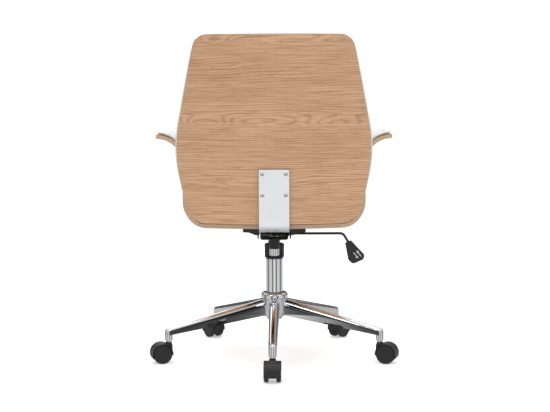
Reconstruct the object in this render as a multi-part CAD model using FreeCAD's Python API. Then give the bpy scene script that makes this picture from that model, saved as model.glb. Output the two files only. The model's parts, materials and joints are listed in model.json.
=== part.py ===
import FreeCAD, Part
import math
import os
from FreeCAD import Vector

# Swivel chair with bent plywood shells on a five-leg chromed base, in millimetres.
# The origin is on the floor under the column, +Z is up and the sitter faces -Y.

# Driving sizes of the star base
LEGS = 5
FIRST_LEG_DEG = 89.0
CASTER_RADIUS = 309.5
LEG_WIDTH_HUB = 31.0
LEG_WIDTH_TIP = 22.4
LEG_WALL = 2.5
LEG_CROWN = 1.08
LEG_TOP_HUB = 164.0
LEG_TOP_TIP = 97.0
LEG_LOW_HUB = 118.5
LEG_LOW_TIP = 77.5
BOSS_LOW = 63.0
SLEEVE_RADIUS = 8.0
SLEEVE_LENGTH = 29.0
HUB_RADIUS = 35.7
HUB_LOW = 116.0
COLLAR_RADIUS = 38.3
COLLAR_TOP = 184.0

# Driving sizes of the gas lift
COLUMN_RADIUS = 24.0
COLUMN_WALL = 2.5
COLUMN_LOW = 107.0
COLUMN_FLOOR = 4.0
COLUMN_TOP = 281.0
COLUMN_LOW_RADIUS = 22.9
BUSH_LOW = 215.0
BUSH_FLANGE = 6.6
CYLINDER_RADIUS = 14.0
CYLINDER_WALL = 2.0
CYLINDER_TAPER = 0.0115
CYLINDER_LOW = 128.0
CYLINDER_CAP = 325.0
CYLINDER_TOP = 343.0
ROD_RADIUS = 5.0
ROD_LOW = 103.0
CLIP_LOW = 104.4
CLIP_HIGH = 106.1
CLIP_GROOVE = 4.2
PISTON_LOW = 222.0
PISTON_TOP = 234.0
RACE_RADIUS = 15.0
RACE_BORE = 7.0
RACE_THICK = 1.6
ROLLER_RADIUS = 2.1
WASHER_THICK = 2.0
RUNNING_GAP = 0.05
PIN_RADIUS = 4.0
PIN_LOW = 327.0
PIN_TOP = 347.2

# Driving sizes of the tilt mechanism
SOCKET_LOW = 308.0
HOUSING_HALF = 39.5
HOUSING_LOW = 339.5
HOUSING_TOP = 364.5
HOUSING_FRONT = -112.0
HOUSING_REAR = 62.0
SOCKET_HOLE = 16.0
SHEET = 3.0
PIVOT_Y = -30.0
PIVOT_Z = 352.0
PIVOT_RADIUS = 5.0
TILT_BUSH_RADIUS = 7.0
EAR_IN = HOUSING_HALF + 5.0
EAR_THICK = 4.0
EAR_RADIUS = 19.0
PLATE_HALF = 88.0
PLATE_FRONT = -112.0
PLATE_REAR = 82.0
PLATE_RIM_LOW = 363.5
PLATE_SKIRT_LOW = 355.7
KNOB_Y = -90.0
KNOB_RADIUS = 28.5
KNOB_LOW = 269.0
KNOB_COLLAR = 9.0
KNOB_TOP = 312.0
SPRING_LOW = 286.0
BOLT_RADIUS = 5.0
LEVER_Z = 351.2
LEVER_RADIUS = 3.5
LEVER_BUSH_X = -38.0
LEVER_BUSH_RADIUS = 7.6
LEVER_ROOT_X = -20.0
LEVER_BEND_X = -196.0
LEVER_END_X = -216.0
LEVER_END_Z = 317.0

# Driving sizes of the seat, back and arms
PLY = 11.0
SEAT_LOW = 386.0
SEAT_HALF = 245.0
SEAT_CORNER = 60.0
SEAT_FRONT = -275.0
SEAT_REAR = 200.0
SEAT_RIM = 452.0
SEAT_PAD_TOP = 462.0
SEAT_BACK_GAP = 24.0
BACK_LOW = 402.0
BACK_TOP = 900.0
BACK_LOW_Y = 235.0
BACK_BEND_Z = 616.0
BACK_BEND_RADIUS = 700.0
BACK_LOWER_LEAN = 4.0
BACK_UPPER_LEAN = 14.5
BACK_WRAP = 620.0
BACK_TOP_HALF = 204.0
BACK_WIDE_HALF = 268.5
BACK_WIDE_Z = 598.0
BACK_LOW_HALF = 227.0
BACK_OUTLINE_FRONT = 60.0
BACK_OUTLINE_REAR = 460.0
PAD_GAP = 0.4
BRACKET_HALF = 40.0
BRACKET_THICK = 6.0
BRACKET_TOP = 549.0
BRACKET_FRONT = 96.0
ARM_OUTER = SEAT_HALF + PLY
ARM_TOP = 635.0
ARM_TIP = 330.0
ARM_BEND = 68.0
ARM_SINK = 5.0

# Driving sizes of the casters
WHEEL_RADIUS = 27.0
TRAIL = 21.0
WHEEL_IN = 10.3
WHEEL_OUT = 22.6
AXLE_RADIUS = 4.0
HOOD_HALF = 23.0
HOOD_RADIUS = 29.2
HOOD_GAP = 0.7
HOOD_TOP = 58.0
STEM_RADIUS = 5.5
STEM_LOW = 34.0
STEM_TOP = 90.0

UP = Vector(0, 0, 1)
ORIGIN = Vector(0, 0, 0)
PLANES = {
    "XY": (Vector(1, 0, 0), Vector(0, 1, 0), Vector(0, 0, 1)),
    "XZ": (Vector(1, 0, 0), Vector(0, 0, 1), Vector(0, 1, 0)),
    "YZ": (Vector(0, 1, 0), Vector(0, 0, 1), Vector(1, 0, 0)),
}
SAME_POINT = 1e-6
parts = {}


def point(plane, a, b, depth=0.0):
    """A point given by its two coordinates in a plane and its depth across it."""
    first, second, normal = PLANES[plane]
    return first * a + second * b + normal * depth


def rectangle(left, right, low, high):
    """The corners of a rectangle in a plane."""
    return [(left, low), (right, low), (right, high), (left, high)]


def hexagon(radius, x, y):
    """The corners of a regular hexagon in plan."""
    angles = [math.radians(60 * i) for i in range(6)]
    return [(x + radius * math.cos(a), y + radius * math.sin(a)) for a in angles]


def corner_arc(before, corner, after, radius):
    """Start, middle and end of the round that replaces a corner, all in the plane."""
    ux, uy = before[0] - corner[0], before[1] - corner[1]
    vx, vy = after[0] - corner[0], after[1] - corner[1]
    u_len, v_len = math.hypot(ux, uy), math.hypot(vx, vy)
    ux, uy, vx, vy = ux / u_len, uy / u_len, vx / v_len, vy / v_len
    half = math.acos(max(-1.0, min(1.0, ux * vx + uy * vy))) / 2
    reach = radius / math.tan(half)
    bx, by = ux + vx, uy + vy
    b_len = math.hypot(bx, by)
    depth = radius / math.sin(half) - radius
    start = (corner[0] + ux * reach, corner[1] + uy * reach)
    middle = (corner[0] + bx / b_len * depth, corner[1] + by / b_len * depth)
    end = (corner[0] + vx * reach, corner[1] + vy * reach)
    return start, middle, end


def path_edges(plane, corners, radii, closed, depth=0.0):
    """Straight edges through the corners, with a tangent arc at each corner that has a radius."""
    count = len(corners)
    stops = []
    for i, corner in enumerate(corners):
        inner = closed or 0 < i < count - 1
        if inner and radii[i] > 0:
            stops.append(corner_arc(corners[i - 1], corner, corners[(i + 1) % count], radii[i]))
        else:
            stops.append((corner, None, corner))
    edges = []
    for i, (start, middle, end) in enumerate(stops):
        if middle is not None:
            ends = [point(plane, *p, depth) for p in (start, middle, end)]
            edges.append(Part.Arc(*ends).toShape())
        if closed or i < count - 1:
            a = point(plane, *end, depth)
            b = point(plane, *stops[(i + 1) % count][0], depth)
            if a.distanceToPoint(b) > SAME_POINT:
                edges.append(Part.makeLine(a, b))
    return edges


def prism(plane, corners, radii, low, high):
    """A closed outline with rounded corners, carried straight across its plane."""
    if not isinstance(radii, (list, tuple)):
        radii = [radii] * len(corners)
    face = Part.Face(Part.Wire(path_edges(plane, corners, radii, True, low)))
    return face.extrude(PLANES[plane][2] * (high - low))


def shifted(corners, distance):
    """The corners of an open path moved to its left by a distance."""
    moved = []
    for i, (x, y) in enumerate(corners):
        normals = []
        for j in (i - 1, i):
            if 0 <= j < len(corners) - 1:
                dx, dy = corners[j + 1][0] - corners[j][0], corners[j + 1][1] - corners[j][1]
                length = math.hypot(dx, dy)
                normals.append((-dy / length, dx / length))
        nx = sum(n[0] for n in normals)
        ny = sum(n[1] for n in normals)
        scale = distance * len(normals) / (nx * nx + ny * ny)
        moved.append((x + nx * scale, y + ny * scale))
    return moved


def turn_side(corners, i):
    """1 where the path turns left at a corner and -1 where it turns right."""
    ax, ay = corners[i][0] - corners[i - 1][0], corners[i][1] - corners[i - 1][1]
    bx, by = corners[i + 1][0] - corners[i][0], corners[i + 1][1] - corners[i][1]
    return 1 if ax * by - ay * bx > 0 else -1


def band_face(plane, corners, radii, thickness, depth=0.0):
    """The section of a bent board: a path with round bends, and its copy to the left."""
    inner = shifted(corners, thickness)
    inner_radii = list(radii)
    for i in range(1, len(corners) - 1):
        inner_radii[i] = radii[i] - turn_side(corners, i) * thickness
    outer_edges = path_edges(plane, corners, radii, False, depth)
    inner_edges = path_edges(plane, inner, inner_radii, False, depth)
    ends = [
        Part.makeLine(point(plane, *corners[-1], depth), point(plane, *inner[-1], depth)),
        Part.makeLine(point(plane, *corners[0], depth), point(plane, *inner[0], depth)),
    ]
    return Part.Face(Part.Wire(Part.sortEdges(outer_edges + inner_edges + ends)[0]))


def band(plane, corners, radii, thickness, low, high):
    """A bent board of even thickness, carried straight across its plane."""
    return band_face(plane, corners, radii, thickness, low).extrude(PLANES[plane][2] * (high - low))


def turned(profile, x=0.0, y=0.0):
    """A body of revolution about a vertical axis, from its (radius, height) outline."""
    corners = [Vector(r, 0, z) for r, z in profile]
    face = Part.Face(Part.makePolygon(corners + corners[:1]))
    solid = face.revolve(ORIGIN, UP, 360)
    solid.translate(Vector(x, y, 0))
    return solid


def rod(start, end, radius):
    """A round bar between two points."""
    line = end - start
    return Part.makeCylinder(radius, line.Length, start, line)


def cross_rod(x_low, x_high, y, z, radius):
    """A round bar that lies along X."""
    return rod(Vector(x_low, y, z), Vector(x_high, y, z), radius)


def tube(outer, inner, low, high, x=0.0, y=0.0):
    """An upright ring or tube."""
    return turned([(inner, low), (outer, low), (outer, high), (inner, high)], x, y)


def mirrored(shape):
    """The same piece on the other side of the chair."""
    return shape.mirror(ORIGIN, Vector(1, 0, 0))


def spun(shape, degrees):
    """A copy turned about the column."""
    copy = shape.copy()
    copy.rotate(ORIGIN, UP, degrees)
    return copy


def leg_angles():
    return [FIRST_LEG_DEG + i * 360.0 / LEGS for i in range(LEGS)]


# Star base

def column_radius_at(z):
    """The column's tapered lower end, which seats in the hub."""
    share = (z - COLUMN_LOW) / (COLLAR_TOP - COLUMN_LOW)
    return COLUMN_LOW_RADIUS + (COLUMN_RADIUS - COLUMN_LOW_RADIUS) * min(1.0, share)


def make_hub():
    """The hub that the legs are welded to, with a bevelled collar above them."""
    foot, bevel, shoulder = 2.0, 4.6, 6.0
    return turned([
        (column_radius_at(HUB_LOW), HUB_LOW),
        (HUB_RADIUS - foot, HUB_LOW),
        (HUB_RADIUS, HUB_LOW + foot),
        (HUB_RADIUS, LEG_TOP_HUB),
        (COLLAR_RADIUS, LEG_TOP_HUB + bevel),
        (COLLAR_RADIUS, COLLAR_TOP - shoulder),
        (COLLAR_RADIUS - bevel, COLLAR_TOP),
        (COLUMN_RADIUS, COLLAR_TOP),
    ])


def leg_section(reach, half, low, high):
    """An upright rectangle across a leg."""
    corners = [Vector(reach, y, z) for y, z in rectangle(-half, half, low, high)]
    return Part.makePolygon(corners + corners[:1])


def leg_line(reach, at_hub, at_tip):
    """A size that changes evenly from the hub's wall to the caster's axis."""
    return at_hub + (at_tip - at_hub) * (reach - HUB_RADIUS) / (CASTER_RADIUS - HUB_RADIUS)


def crown_at(reach):
    """The height of the axis and the radius of a leg's round back."""
    radius = LEG_CROWN * leg_line(reach, LEG_WIDTH_HUB, LEG_WIDTH_TIP) / 2
    return leg_line(reach, LEG_TOP_HUB, LEG_TOP_TIP) - radius, radius


def leg_loft(near, far, wall, above_axis):
    """A tapered bar with upright sides, from the leg's foot to a share of its crown."""
    sections = []
    for reach in (near, far):
        axis_z, radius = crown_at(reach)
        half = leg_line(reach, LEG_WIDTH_HUB, LEG_WIDTH_TIP) / 2 - wall
        low = leg_line(reach, LEG_LOW_HUB, LEG_LOW_TIP) - wall
        sections.append(leg_section(reach, half, low, axis_z + above_axis * radius))
    return Part.makeLoft(sections, True, True)


def leg_crown(near, far):
    """The cone that rounds a leg's back."""
    ends = []
    for reach in (near, far):
        axis_z, radius = crown_at(reach)
        ends.append((Vector(reach, 0, axis_z), radius))
    (start, start_radius), (end, end_radius) = ends
    line = end - start
    return Part.makeCone(start_radius, end_radius, line.Length, start, line)


def leg_tip():
    """The upright boss at a leg's tip, with a domed top."""
    boss, shoulder, dome, dome_rise = LEG_WIDTH_TIP / 2, 8.0, 5.0, 1.4
    return turned([
        (0, BOSS_LOW), (boss, BOSS_LOW), (boss, LEG_TOP_TIP - shoulder),
        (boss - dome, LEG_TOP_TIP - dome_rise), (0, LEG_TOP_TIP),
    ], CASTER_RADIUS)


def make_leg():
    """One pressed leg, open below, with an upright boss for the caster at its tip."""
    root, web, spare, above_crown, hollow_height = 4.0, 3.0, 15.0, 1.2, 0.45
    near, far = HUB_RADIUS - root, CASTER_RADIUS
    crown = leg_crown(near - spare, far + spare).common(leg_loft(near, far, 0.0, above_crown))
    body = leg_loft(near, far, 0.0, 0.0).fuse(crown)
    hollow_end = far - LEG_WIDTH_TIP / 2 - 1.0
    hollow = leg_loft(HUB_RADIUS + web, hollow_end, LEG_WALL, hollow_height)
    bore = Part.makeCylinder(SLEEVE_RADIUS, SLEEVE_LENGTH + 2.0, Vector(CASTER_RADIUS, 0, BOSS_LOW - 1.0))
    hub_space = Part.makeCylinder(HUB_RADIUS, COLLAR_TOP, ORIGIN)
    return body.cut(hollow).fuse(leg_tip()).cut(bore).cut(hub_space).removeSplitter()


def make_sleeve():
    """The grip sleeve that holds a caster's stem in the leg."""
    return tube(SLEEVE_RADIUS, STEM_RADIUS + RUNNING_GAP, BOSS_LOW, BOSS_LOW + SLEEVE_LENGTH, CASTER_RADIUS)


def make_base():
    parts["base_hub"] = make_hub()
    leg = make_leg()
    for i, angle in enumerate(leg_angles(), 1):
        parts[f"base_leg_{i}"] = spun(leg, angle)
    sleeve = make_sleeve()
    parts["caster_sleeves"] = Part.makeCompound([spun(sleeve, a) for a in leg_angles()])


# Gas lift

def make_column():
    """The outer tube, closed below around the piston rod's end."""
    inner = COLUMN_RADIUS - COLUMN_WALL
    rod_hole = ROD_RADIUS + 1.5
    return turned([
        (rod_hole, COLUMN_LOW),
        (COLUMN_LOW_RADIUS, COLUMN_LOW),
        (COLUMN_RADIUS, COLLAR_TOP),
        (COLUMN_RADIUS, COLUMN_TOP),
        (inner, COLUMN_TOP),
        (inner, COLLAR_TOP),
        (COLUMN_LOW_RADIUS - COLUMN_WALL, COLUMN_LOW + COLUMN_FLOOR),
        (rod_hole, COLUMN_LOW + COLUMN_FLOOR),
    ])


def make_column_bush():
    """The plastic guide that the gas cylinder slides in."""
    inner, sleeve = CYLINDER_RADIUS + RUNNING_GAP, COLUMN_RADIUS - COLUMN_WALL
    flange, bevel = COLUMN_RADIUS + 0.8, 2.0
    top = COLUMN_TOP + BUSH_FLANGE
    return turned([
        (inner, BUSH_LOW), (sleeve, BUSH_LOW), (sleeve, COLUMN_TOP), (flange, COLUMN_TOP),
        (flange, top - bevel), (flange - bevel, top), (inner, top),
    ])


def make_thrust_bearing():
    """Two washers and a ring of short rollers that carry the sitter and let the chair turn."""
    rollers, inset = 6, 1.5
    low = COLUMN_LOW + COLUMN_FLOOR
    level = Vector(0, 0, low + RACE_THICK + ROLLER_RADIUS)
    upper = low + RACE_THICK + 2 * ROLLER_RADIUS
    solids = [tube(RACE_RADIUS, RACE_BORE, z, z + RACE_THICK) for z in (low, upper)]
    for i in range(rollers):
        angle = 2 * math.pi * i / rollers
        outward = Vector(math.cos(angle), math.sin(angle), 0)
        start, end = outward * (RACE_BORE + inset), outward * (RACE_RADIUS - inset)
        solids.append(rod(level + start, level + end, ROLLER_RADIUS))
    return Part.makeCompound(solids)


def washer_low():
    """The underside of the washer on top of the thrust bearing."""
    return COLUMN_LOW + COLUMN_FLOOR + 2 * RACE_THICK + 2 * ROLLER_RADIUS + RUNNING_GAP


def make_piston_rod():
    """The rod that stands on the bearing and stays down as the cylinder slides."""
    point_in, point_rise = 0.6, 0.9
    return turned([
        (0, ROD_LOW), (ROD_RADIUS - point_in, ROD_LOW), (ROD_RADIUS, ROD_LOW + point_rise),
        (ROD_RADIUS, CLIP_LOW), (CLIP_GROOVE, CLIP_LOW), (CLIP_GROOVE, CLIP_HIGH), (ROD_RADIUS, CLIP_HIGH),
        (ROD_RADIUS, PISTON_LOW), (0, PISTON_LOW),
    ])


def make_bump_stop():
    """The rubber stop under the cylinder's lower end."""
    low, high, foot, head = washer_low() + WASHER_THICK, CYLINDER_LOW - 1.0, 11.0, 9.6
    return turned([(ROD_RADIUS, low), (foot, low), (head, high), (ROD_RADIUS, high)])


def cylinder_radius_at(z):
    """The slow taper at the cylinder's head, which seats in the mechanism's socket."""
    return CYLINDER_RADIUS - max(0.0, z - SOCKET_LOW) * CYLINDER_TAPER


def make_pressure_tube():
    """The gas cylinder, with a rod guide below and a bored cap for the valve pin above."""
    bore, guide = CYLINDER_RADIUS - CYLINDER_WALL, 6.0
    rod_bore, pin_bore = ROD_RADIUS + RUNNING_GAP, PIN_RADIUS + RUNNING_GAP
    return turned([
        (rod_bore, CYLINDER_LOW), (CYLINDER_RADIUS, CYLINDER_LOW), (CYLINDER_RADIUS, SOCKET_LOW),
        (cylinder_radius_at(CYLINDER_TOP), CYLINDER_TOP), (pin_bore, CYLINDER_TOP), (pin_bore, CYLINDER_CAP),
        (bore, CYLINDER_CAP), (bore, CYLINDER_LOW + guide), (rod_bore, CYLINDER_LOW + guide),
    ])


def make_valve_pin():
    """The pin that the lever presses to free the gas lift."""
    bevel = 1.0
    return turned([
        (0, PIN_LOW), (PIN_RADIUS, PIN_LOW), (PIN_RADIUS, PIN_TOP - bevel),
        (PIN_RADIUS - bevel, PIN_TOP), (0, PIN_TOP),
    ])


def make_gas_lift():
    parts["column_tube"] = make_column()
    parts["column_bush"] = make_column_bush()
    parts["thrust_bearing"] = make_thrust_bearing()
    parts["piston_rod"] = make_piston_rod()
    parts["rod_clip"] = tube(RACE_BORE + 1.6, CLIP_GROOVE, CLIP_LOW, CLIP_HIGH)
    parts["rod_washer"] = tube(RACE_RADIUS - 3.0, ROD_RADIUS, washer_low(), washer_low() + WASHER_THICK)
    parts["bump_stop"] = make_bump_stop()
    piston = CYLINDER_RADIUS - CYLINDER_WALL - RUNNING_GAP
    parts["piston_head"] = Part.makeCylinder(piston, PISTON_TOP - PISTON_LOW, Vector(0, 0, PISTON_LOW))
    parts["pressure_tube"] = make_pressure_tube()
    parts["valve_pin"] = make_valve_pin()


# Tilt mechanism

def housing_holes():
    """Holes for the socket, the swinging tension bolt, the axle and the lever's bush."""
    half, below, height = HOUSING_HALF + 1.0, HOUSING_LOW - 1.0, SHEET + 2.0
    slot_half, bolt_swing, slot_rear = 7.0, 12.0, 8.0
    slot = rectangle(-slot_half, slot_half, KNOB_Y - bolt_swing, KNOB_Y + slot_rear)
    lever_hole = LEVER_BUSH_RADIUS + 0.3
    return [
        Part.makeCylinder(SOCKET_HOLE, height, Vector(0, 0, below)),
        prism("XY", slot, slot_half - RUNNING_GAP, below, below + height),
        cross_rod(-half, half, PIVOT_Y, PIVOT_Z, PIVOT_RADIUS),
        cross_rod(-half, LEVER_ROOT_X, 0, LEVER_Z, lever_hole),
    ]


def make_housing():
    """A pressed steel channel with rounded lower corners, open above."""
    half, bend, end_drop, level_front, level_rear = HOUSING_HALF, 8.0, 9.0, -60.0, 20.0
    section = [(-half, HOUSING_TOP), (-half, HOUSING_LOW), (half, HOUSING_LOW), (half, HOUSING_TOP)]
    channel = band("XZ", section, [0, bend, bend, 0], SHEET, HOUSING_FRONT, HOUSING_REAR)
    side_view = prism("YZ", [
        (HOUSING_FRONT, HOUSING_LOW), (HOUSING_REAR, HOUSING_LOW), (HOUSING_REAR, HOUSING_TOP - end_drop),
        (level_rear, HOUSING_TOP), (level_front, HOUSING_TOP), (HOUSING_FRONT, HOUSING_TOP - end_drop),
    ], [10, 6, 6, 20, 20, 6], -half, half)
    channel = channel.common(side_view)
    for hole in housing_holes():
        channel = channel.cut(hole)
    return channel


def make_socket():
    """The tapered socket welded through the housing's floor, which sits on the gas cylinder."""
    top = CYLINDER_TOP - 0.5
    neck_z, neck, foot, flare = 331.0, CYLINDER_RADIUS + 1.6, CYLINDER_RADIUS + 1.2, SOCKET_HOLE + 4.0
    return turned([
        (CYLINDER_RADIUS, SOCKET_LOW), (foot, SOCKET_LOW), (neck, neck_z), (flare, HOUSING_LOW),
        (SOCKET_HOLE, HOUSING_LOW), (SOCKET_HOLE, top), (cylinder_radius_at(top), top),
    ])


def make_axle():
    """The tilt axle, with a head at one end and a clip at the other."""
    reach, head, head_radius = HOUSING_HALF + 10.0, 3.0, PIVOT_RADIUS + 3.0
    bar = cross_rod(-reach, reach, PIVOT_Y, PIVOT_Z, PIVOT_RADIUS)
    for end in (-reach - head, reach):
        bar = bar.fuse(cross_rod(end, end + head, PIVOT_Y, PIVOT_Z, head_radius))
    return bar.removeSplitter()


def make_pan():
    """The seat plate's flat top with its turned-down rims."""
    corner, half = 14.0, PLATE_HALF
    outside = rectangle(-half, half, PLATE_FRONT, PLATE_REAR)
    inside = rectangle(-half + SHEET, half - SHEET, PLATE_FRONT + SHEET, PLATE_REAR - SHEET)
    pan = prism("XY", outside, corner, PLATE_RIM_LOW, SEAT_LOW)
    return pan.cut(prism("XY", inside, corner - SHEET, PLATE_RIM_LOW - 1.0, SEAT_LOW - SHEET))


def make_skirt():
    """The tapered drop of the seat plate's rear rim."""
    tip, root, low, high = 52.0, 74.0, PLATE_RIM_LOW + 1.0, PLATE_RIM_LOW + 8.0
    return prism("XZ", [
        (-root, low), (-tip, PLATE_SKIRT_LOW), (tip, PLATE_SKIRT_LOW), (root, low),
        (root, high), (-root, high),
    ], 0, PLATE_REAR - SHEET, PLATE_REAR)


def rim_notch(plane, half, top, rim_low, rim_high):
    """An arched notch through a rim, open below."""
    corner, below = 6.0, PLATE_SKIRT_LOW - 6.0
    return prism(plane, rectangle(-half, half, below, top), [0, 0, corner, corner], rim_low - 1, rim_high + 1)


def make_ear(x_low, x_high):
    """A hanging cheek of the seat plate, round about the tilt axle."""
    corners = rectangle(PIVOT_Y - EAR_RADIUS, PIVOT_Y + EAR_RADIUS, PIVOT_Z - EAR_RADIUS, SEAT_LOW - SHEET)
    bend = EAR_RADIUS - RUNNING_GAP
    return prism("YZ", corners, [bend, bend, 0, 0], x_low, x_high)


def make_seat_plate():
    """The pressed pan under the seat, with gaps in its rims and two ears on the tilt axle."""
    lever_half, lever_top = 16.0, 374.0
    housing_half, housing_top = 44.0, 366.5
    front_half, front_top = 60.0, 370.5
    plate = make_pan().fuse(make_skirt())
    for gap in (
        rim_notch("YZ", lever_half, lever_top, -PLATE_HALF, -PLATE_HALF + SHEET),
        rim_notch("XZ", housing_half, housing_top, PLATE_REAR - SHEET, PLATE_REAR),
        rim_notch("XZ", front_half, front_top, PLATE_FRONT, PLATE_FRONT + SHEET),
    ):
        plate = plate.cut(gap)
    for start in (EAR_IN, -EAR_IN - EAR_THICK):
        plate = plate.fuse(make_ear(start, start + EAR_THICK))
    return plate.cut(cross_rod(-PLATE_HALF, PLATE_HALF, PIVOT_Y, PIVOT_Z, TILT_BUSH_RADIUS)).removeSplitter()


def make_tilt_bushes():
    """Flanged plastic bushes between the ears and the axle."""
    flange, flange_thick = TILT_BUSH_RADIUS + 3.0, 1.5
    solids = []
    for side in (-1, 1):
        inner, face, outer = (side * x for x in (EAR_IN - flange_thick, EAR_IN, EAR_IN + EAR_THICK))
        sleeve = cross_rod(inner, outer, PIVOT_Y, PIVOT_Z, TILT_BUSH_RADIUS)
        bush = sleeve.fuse(cross_rod(inner, face, PIVOT_Y, PIVOT_Z, flange))
        solids.append(bush.cut(cross_rod(inner, outer, PIVOT_Y, PIVOT_Z, PIVOT_RADIUS + RUNNING_GAP)))
    return Part.makeCompound(solids)


def make_spring():
    """The tilt spring between the housing's floor and the tension knob."""
    wire, coil, turns, steps, sides, seat_gap = 2.6, 16.5, 5, 10, 6, 0.2
    low = SPRING_LOW + wire + seat_gap
    rise = HOUSING_LOW - seat_gap - wire - low
    sections = []
    for step in range(turns * steps + 1):
        around = 2 * math.pi * step / steps
        height = low + rise * step / (turns * steps)
        ring = []
        for side in range(sides + 1):
            at = 2 * math.pi * (side + 0.5) / sides
            reach = coil + wire * math.cos(at)
            x, y = reach * math.cos(around), KNOB_Y + reach * math.sin(around)
            ring.append(Vector(x, y, height + wire * math.sin(at)))
        sections.append(Part.makePolygon(ring))
    return Part.makeLoft(sections, True, True)


def make_tension_bolt():
    """The bolt that hangs from the seat plate and pulls the knob up as the seat leans back."""
    head_top, head, head_radius = SEAT_LOW - SHEET, 7.0, 9.2
    low = KNOB_LOW + 5.0
    shank = Part.makeCylinder(BOLT_RADIUS, head_top - head - low, Vector(0, KNOB_Y, low))
    return shank.fuse(prism("XY", hexagon(head_radius, 0, KNOB_Y), 0, head_top - head, head_top))


def knob_outline(root):
    """The ribbed outline of the knob's grip in plan."""
    ribs, crest_share, root_share = 20, 0.15, 0.3
    outline = []
    crest = KNOB_RADIUS
    flanks = ((-root_share, root), (-crest_share, crest), (crest_share, crest), (root_share, root))
    for i in range(ribs):
        for share, radius in flanks:
            angle = 2 * math.pi * (i + share) / ribs
            outline.append((radius * math.cos(angle), KNOB_Y + radius * math.sin(angle)))
    return outline


def make_tension_knob():
    """A ribbed cup with a collar, which holds the spring's lower end."""
    rib, foot, proud, pocket = 1.5, 3.0, 0.6, 21.0
    root, collar, collar_low = KNOB_RADIUS - rib, KNOB_RADIUS + proud, KNOB_TOP - KNOB_COLLAR
    grip = prism("XY", knob_outline(root), 0, KNOB_LOW + foot, collar_low)
    cone = Part.makeCone(root - foot, root, foot, Vector(0, KNOB_Y, KNOB_LOW))
    ring = turned([
        (0, collar_low), (collar, collar_low), (collar, KNOB_TOP - foot),
        (collar - foot, KNOB_TOP), (0, KNOB_TOP),
    ], 0, KNOB_Y)
    cup = grip.fuse(cone).fuse(ring)
    cup = cup.cut(Part.makeCylinder(pocket, KNOB_TOP, Vector(0, KNOB_Y, SPRING_LOW)))
    return cup.cut(Part.makeCylinder(BOLT_RADIUS + RUNNING_GAP, KNOB_TOP, Vector(0, KNOB_Y, 0)))


def make_lever_bush():
    """The snap-in bush in the housing's wall, round about Y so that it rocks as the lever is lifted."""
    half_length = 5.5
    centre = Vector(LEVER_BUSH_X, 0, LEVER_Z)
    side = Vector(0, LEVER_BUSH_RADIUS, 0)
    barrel = cross_rod(LEVER_BUSH_X - half_length, LEVER_BUSH_X + half_length, 0, LEVER_Z, LEVER_BUSH_RADIUS)
    barrel = barrel.common(rod(centre - side, centre + side, LEVER_BUSH_RADIUS))
    return barrel.cut(cross_rod(LEVER_BUSH_X * 2, 0, 0, LEVER_Z, LEVER_RADIUS + RUNNING_GAP))


def make_lever_rod():
    """The height lever: a flattened finger over the valve pin, a long straight and a bent-down end."""
    bend, pin_gap, thick, half, tip_x, tip_round = 16.0, 0.4, 4.5, 7.0, 6.0, 5.0
    corners = [(LEVER_ROOT_X, LEVER_Z), (LEVER_BEND_X, LEVER_Z), (LEVER_END_X, LEVER_END_Z)]
    path = Part.Wire(path_edges("XZ", corners, [0, bend, 0], False))
    start = Vector(LEVER_ROOT_X, 0, LEVER_Z)
    section = Part.Wire(Part.makeCircle(LEVER_RADIUS, start, Vector(1, 0, 0)))
    bar = path.makePipeShell([section], True, False)
    low = PIN_TOP + pin_gap
    outline = rectangle(LEVER_ROOT_X - 1.0, tip_x, -half, half)
    return bar.fuse(prism("XY", outline, [0, tip_round, tip_round, 0], low, low + thick))


def make_lever_handle():
    """A flat paddle that widens to its rounded end, pushed over the rod."""
    half_thick, edge = 6.0, 2.0
    outline = [(-202, 323), (-218.5, 331), (-258, 289), (-254, 276), (-224, 263), (-211, 275)]
    paddle = prism("XZ", outline, [3, 3, 9, 12, 9, 9], -half_thick, half_thick)
    rims = [e for e in paddle.Edges if e.BoundBox.YLength < SAME_POINT * 1e4]
    return paddle.makeChamfer(edge, rims).cut(parts["lever_rod"])


def make_mechanism():
    parts["mech_housing"] = make_housing()
    parts["mech_socket"] = make_socket()
    parts["tilt_axle"] = make_axle()
    parts["tilt_bushes"] = make_tilt_bushes()
    parts["seat_plate"] = make_seat_plate()
    parts["tension_spring"] = make_spring()
    parts["tension_bolt"] = make_tension_bolt()
    parts["tension_knob"] = make_tension_knob()
    parts["lever_bush"] = make_lever_bush()
    parts["lever_rod"] = make_lever_rod()
    parts["lever_handle"] = make_lever_handle()


# Seat

def inside_back(gap):
    """The space in front of the back's wrap, which rounds the rear edge of the seat."""
    return Part.makeCylinder(BACK_WRAP - gap, BACK_TOP, Vector(0, BACK_LOW_Y - BACK_WRAP, 0))


def make_seat_shell():
    """The bent seat board: flat floor, upturned sides that fall away towards the front."""
    half, front_corner, front_lip = SEAT_HALF, 55.0, 16.0
    rear_level, fall_y, fall = SEAT_REAR - 70, -140.0, 6.0
    section = [(-half, SEAT_RIM), (-half, SEAT_LOW), (half, SEAT_LOW), (half, SEAT_RIM)]
    board = band("XZ", section, [0, SEAT_CORNER, SEAT_CORNER, 0], PLY, SEAT_FRONT, SEAT_REAR)
    side_view = prism("YZ", [
        (SEAT_FRONT - 1, SEAT_LOW - 1), (SEAT_REAR, SEAT_LOW - 1), (SEAT_REAR, SEAT_RIM - 2),
        (rear_level, SEAT_RIM), (fall_y, SEAT_RIM - fall), (SEAT_FRONT - 1, SEAT_LOW + front_lip),
    ], [0, 0, 8, 200, 140, 0], -half - 1, half + 1)
    corners = rectangle(-half, half, SEAT_FRONT, SEAT_REAR)
    plan = prism("XY", corners, [front_corner, front_corner, 0, 0], SEAT_LOW - 1, SEAT_RIM + 1)
    return board.common(side_view).common(plan).common(inside_back(PLY + SEAT_BACK_GAP))


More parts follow.
